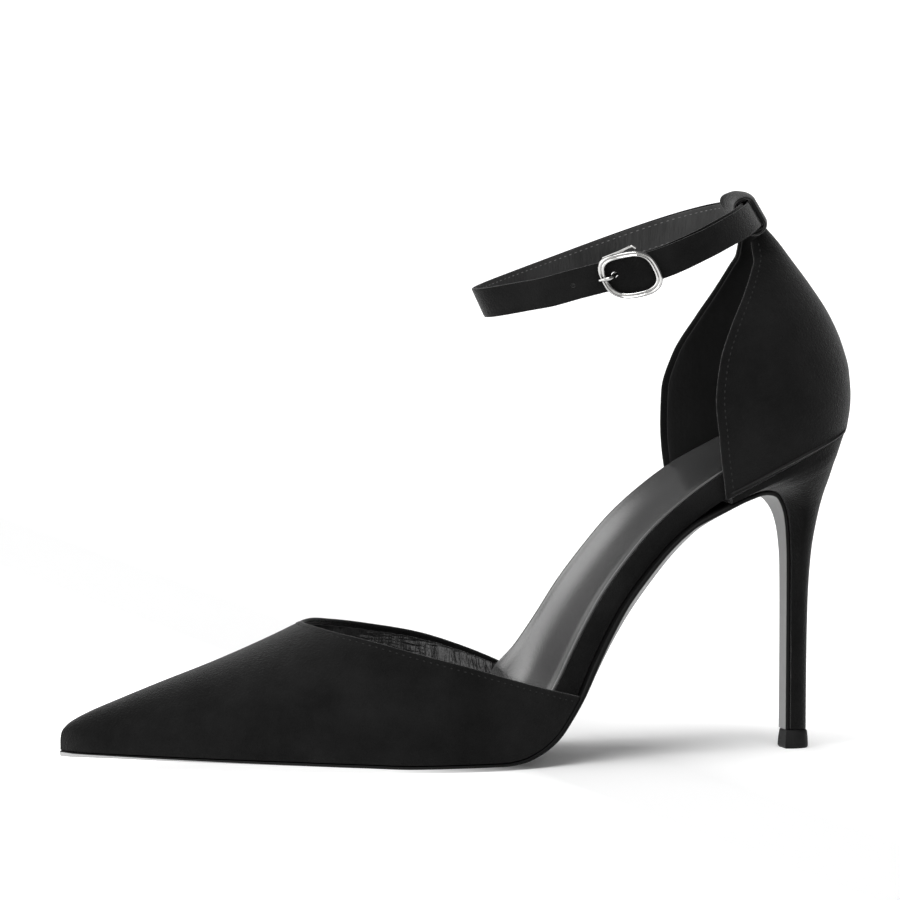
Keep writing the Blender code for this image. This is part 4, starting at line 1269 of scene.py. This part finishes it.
def punch(piece, holes):
    """Cut round holes, given as (centre, outward, radius), through a piece."""
    cutters = []
    for centre, outward, radius in holes:
        bm = bmesh.new()
        spot = Matrix.Translation(centre * MM) @ outward.to_track_quat("Z", "Y").to_matrix().to_4x4()
        bmesh.ops.create_cone(bm, cap_ends=True, segments=HOLE_SIDES, radius1=radius * MM,
                              radius2=radius * MM, depth=HOLE_LONG * MM, matrix=spot)
        mesh = bpy.data.meshes.new("hole")
        bm.to_mesh(mesh)
        bm.free()
        cutter = bpy.data.objects.new("hole", mesh)
        bpy.context.scene.collection.objects.link(cutter)
        cut = piece.modifiers.new("hole", "BOOLEAN")
        cut.operation = "DIFFERENCE"
        cut.solver = "EXACT"
        cut.object = cutter
        cutters.append(cutter)
    solid = piece.evaluated_get(bpy.context.evaluated_depsgraph_get())
    cut_mesh = bpy.data.meshes.new_from_object(solid)
    piece.modifiers.clear()
    piece.data = cut_mesh
    for cutter in cutters:
        bpy.data.objects.remove(cutter, do_unlink=True)


def make_strap(suede, lining, thread):
    half = STRAP_THICK / 2.0
    outside = new_piece("strap_suede", strap_layer(0.0, 0.0, half), suede, "suede", "ankle_strap")
    inside = strap_layer(STRAP_LINING_INSET, -half, -STRAP_LAYER_GAP)
    inside = new_piece("strap_lining", inside, lining, "suede", "ankle_strap")
    holes = []
    for back, radius in ((PRONG_HOLE_BACK, PRONG_HOLE_LOOK), (SPARE_HOLE_BACK, SPARE_HOLE)):
        centre = buckle_point(-back, 0.0, -half)
        holes.append((centre, buckle_point(-back, 0.0, 1.0) - centre, radius))
    punch(outside, holes)
    punch(inside, holes[:1])
    start = BUCKLE_ANGLE - STRAP_STITCH_MARGIN
    end = STRAP_TIP_ANGLE - 360.0 + STRAP_STITCH_MARGIN
    for edge, name in ((1.0, "upper"), (-1.0, "lower")):
        path = []
        for i in range(STRAP_STITCH_POINTS + 1):
            angle = start + (end - start) * i / STRAP_STITCH_POINTS
            across = edge * (strap_edge(angle) - STRAP_STITCH_IN)
            outward = strap_point(angle, across, 1.0) - strap_point(angle, across, 0.0)
            face = free_end_step(angle) - half - STRAP_STITCH_OUT
            path.append((strap_point(angle, across, face), -outward))
        stitch_row("strap_lining_stitches_" + name, path, thread, "suede", STRAP_STITCH_PITCH, STRAP_STITCH)


def make_strap_loop(look):
    """The quarter's top folded over the strap, its two ends rolled."""
    def place(u, v):
        reach, over = there_and_back(v, LOOP_SHARE)
        roll = math.pi * over
        swell = math.sqrt(max(math.sin(math.pi * reach), 0.0))
        run = (1.0 - math.cos(math.pi * reach)) / 2.0
        angle = LOOP_FAR_ANGLE + (LOOP_NEAR_ANGLE - LOOP_FAR_ANGLE) * run
        widen = STRAP_OVERLAP * smoothstep(LOOP_FAR_ANGLE, LOOP_WIDEN_ANGLE, angle)
        cover = (1.0 + math.cos(roll)) / 2.0
        wall = cover * (LOOP_END_WALL + (LOOP_WALL - LOOP_END_WALL) * swell)
        half_wide = LOOP_HOLE_WIDE / 2.0 + wall
        half_thick = (LOOP_HOLE_THICK + widen) / 2.0 + wall
        corner = LOOP_HOLE_CORNER + (LOOP_ROUND * half_thick - LOOP_HOLE_CORNER) * cover
        across, out = rounded_box(u, half_wide, half_thick, corner)
        across += LOOP_FAR_RISE * (1.0 - run) * cover * smoothstep(0.0, half_wide, across)
        angle += math.copysign(LOOP_END_ANGLE * math.sin(roll), reach - 0.5)
        return strap_point(angle, across, widen / 2.0 + out)

    bm = sheet(LOOP_COLUMNS, LOOP_ROWS, place)
    new_piece("strap_loop_suede", bm, look, "suede", "strap_loop")


# Buckle

def frame_outline(turn):
    """Point of the frame's middle line and its outward direction, along and across the strap."""
    def at(angle):
        along = math.copysign(abs(math.cos(angle)) ** (2.0 / FRAME_POWER), math.cos(angle))
        across = math.copysign(abs(math.sin(angle)) ** (2.0 / FRAME_POWER), math.sin(angle))
        return Vector((FRAME_HALF_LONG * along, FRAME_HALF_WIDE * across - FRAME_DROP))

    tangent = (at(turn + FRAME_SLOPE) - at(turn - FRAME_SLOPE)).normalized()
    return at(turn), Vector((tangent.y, -tangent.x))


def make_buckle_frame(look):
    """Rounded frame with two ridges and a groove between them."""
    def place(u, v):
        middle, outward = frame_outline(2.0 * math.pi * v)
        turn = 2.0 * math.pi * u
        wide = FRAME_BAND * math.cos(turn)
        high = FRAME_WIRE * math.sin(turn)
        if high > 0.0:
            high *= 1.0 - FRAME_GROOVE * math.exp(-(wide / FRAME_GROOVE_HALF) ** 2)
        spot = middle + outward * wide
        return buckle_point(spot.x, spot.y, GAP + FRAME_WIRE + high)

    bm = sheet(FRAME_COLUMNS, FRAME_ROWS, place)
    new_piece("buckle_frame_metal", bm, look, "nickel", "buckle_frame")


def wire(rows, path, radius_at, place_at):
    """Round wire along a path of two coordinates; place_at(p, q, side) puts it in the buckle."""
    travel = lengths_along(path)
    spots = table("s p q", [(s, *point) for s, point in zip(travel, path)])
    first, second = Profile(spots, "s", "p"), Profile(spots, "s", "q")

    def place(u, v):
        s = travel[-1] * v
        before, after = s - WIRE_SLOPE, s + WIRE_SLOPE
        run = Vector((first(after) - first(before), second(after) - second(before))).normalized()
        turn = 2.0 * math.pi * u
        radius = radius_at(v)
        lift = radius * math.cos(turn)
        return place_at(first(s) - run.y * lift, second(s) + run.x * lift, radius * math.sin(turn))

    return sheet(WIRE_COLUMNS, rows, place, capped=True)


def make_bar_and_prong(look):
    bar = wire(WIRE_ROWS, BAR, lambda v: BAR_WIRE, lambda p, q, side: buckle_point(side, p, q))
    new_piece("buckle_bar_metal", bar, look, "nickel", "buckle_bar")
    end = wire(BAR_END_ROWS, BAR_END, lambda v: BAR_END_WIRE,
               lambda p, q, side: buckle_point(p, q, BAR_END_OUT + side))
    new_piece("buckle_bar_end", end, look, "nickel", "buckle_bar")
    prong = wire(WIRE_ROWS, PRONG,
                 lambda v: PRONG_WIRE * (1.0 - PRONG_TAPER * smoothstep(PRONG_TAPER_START, 1.0, v)),
                 lambda p, q, side: buckle_point(p, side, q))
    new_piece("buckle_prong_metal", prong, look, "nickel", "buckle_prong")


# Floor, light and camera

def make_floor():
    """Plain pale floor that runs into the pale background, with painted light glowing under the toe and
    behind the heel to lift the shoe's shadow there.
    """
    look = Look("pale_floor", {"Roughness": 0.9, "Specular IOR Level": 0.1, "Emission Strength": 1.0})
    x = look.part(look.place, "X")
    # Painted light: emission under the toe and behind the heel that lifts the shoe's shadow off the floor
    toe = look.ramp(x, FLOOR_GLOW_TOE_X, FLOOR_GLOW_BALL_X, 1.0, 0.0)
    heel_end = look.ramp(x, FLOOR_GLOW_WAIST_X, FLOOR_GLOW_HEEL_X, 0.0, 1.0)
    toe_painted_light = look.mix(toe, grey(0.0), grey(FLOOR_PAINTED_LIGHT_TOE))
    cloud = look.noise(3.0, 2.0, 0.5)
    look.feed("Base Color", look.mix(cloud, grey(FLOOR_DARK), grey(FLOOR_LIGHT)))
    look.feed("Emission Color", look.mix(heel_end, toe_painted_light, grey(FLOOR_PAINTED_LIGHT_HEEL)))
    bm = bmesh.new()
    bmesh.ops.create_grid(bm, x_segments=FLOOR_CELLS, y_segments=FLOOR_CELLS, size=FLOOR_HALF)
    mesh = bpy.data.meshes.new("floor")
    bm.to_mesh(mesh)
    bm.free()
    mesh.materials.append(look.material)
    floor = bpy.data.objects.new("floor", mesh)
    bpy.context.scene.collection.objects.link(floor)


def aim(thing, location, target):
    thing.location = location
    thing.rotation_euler = (target - location).to_track_quat("-Z", "Y").to_euler()
    bpy.context.scene.collection.objects.link(thing)


def make_lights():
    """A pale room with soft bright panels, and a large soft lamp from above and in front."""
    world = bpy.data.worlds.new("studio")
    world.use_nodes = True
    room = Nodes(world.node_tree)
    way = room.add("ShaderNodeTexCoord", output="Generated")
    level = room.ramp(room.part(way, "Z"), SKY_LOW_RISE, SKY_HIGH_RISE, SKY_LOW, SKY_HIGH)
    for row in PANELS:
        toward = Vector((row.x, row.y, row.z)).normalized()
        facing = room.add("ShaderNodeVectorMath", {"operation": "DOT_PRODUCT"}, {0: way, 1: toward},
                          output="Value")
        level = level + room.ramp(facing, row.rim, row.middle, 0.0, row.strength)
    sky = room.nodes["Background"]
    sky.inputs["Color"].default_value = grey(1.0)
    room.links.new(level.socket, sky.inputs["Strength"])
    bpy.context.scene.world = world
    sun = bpy.data.lights.new("sun", "SUN")
    sun.energy = SUN_STRENGTH
    sun.angle = math.radians(SUN_ANGLE)
    aim(bpy.data.objects.new("sun", sun), SUN_FROM, Vector((0.0, 0.0, 0.0)))


def make_camera():
    camera = bpy.data.cameras.new("camera")
    camera.sensor_width = SENSOR
    camera.lens = SENSOR * CAMERA_DISTANCE / CAMERA_FIELD
    camera.clip_end = CAMERA_REACH
    turn, rise = math.radians(CAMERA_AZIMUTH), math.radians(CAMERA_ELEVATION)
    back = Vector((math.sin(turn) * math.cos(rise), -math.cos(turn) * math.cos(rise), math.sin(rise)))
    target = CAMERA_TARGET * MM
    piece = bpy.data.objects.new("camera", camera)
    aim(piece, target + back * CAMERA_DISTANCE * MM, target)
    bpy.context.scene.camera = piece
    bpy.context.scene.view_settings.view_transform = "Standard"


def main():
    suede = suede_look()
    lining = lining_look("lining_leather", gloss=0.75, rough=0.1, dark=0.008, light=0.02, creased=7.0)
    quarter_lining = lining_look("quarter_lining", gloss=0.15, rough=0.5, dark=0.005, light=0.011,
                                 creased=1.0)
    strap_lining = lining_look("strap_lining", gloss=0.25, rough=0.45, dark=0.006, light=0.05, creased=6.0)
    nickel = nickel_look()
    dark_thread = thread_look("dark_thread", dark=0.008, light=0.02)
    light_thread = thread_look("light_thread", dark=0.07, light=0.2)
    make_outsole(sole_look())
    make_footbed(suede)
    make_sock(sock_look())
    make_vamp(suede, lining)
    make_vamp_stitches(dark_thread)
    make_quarter(suede, quarter_lining, dark_thread)
    make_heel(suede)
    make_heel_tip(tip_look())
    make_strap(suede, strap_lining, light_thread)
    make_strap_loop(suede)
    make_buckle_frame(nickel)
    make_bar_and_prong(nickel)
    make_floor()
    make_lights()
    make_camera()


main()
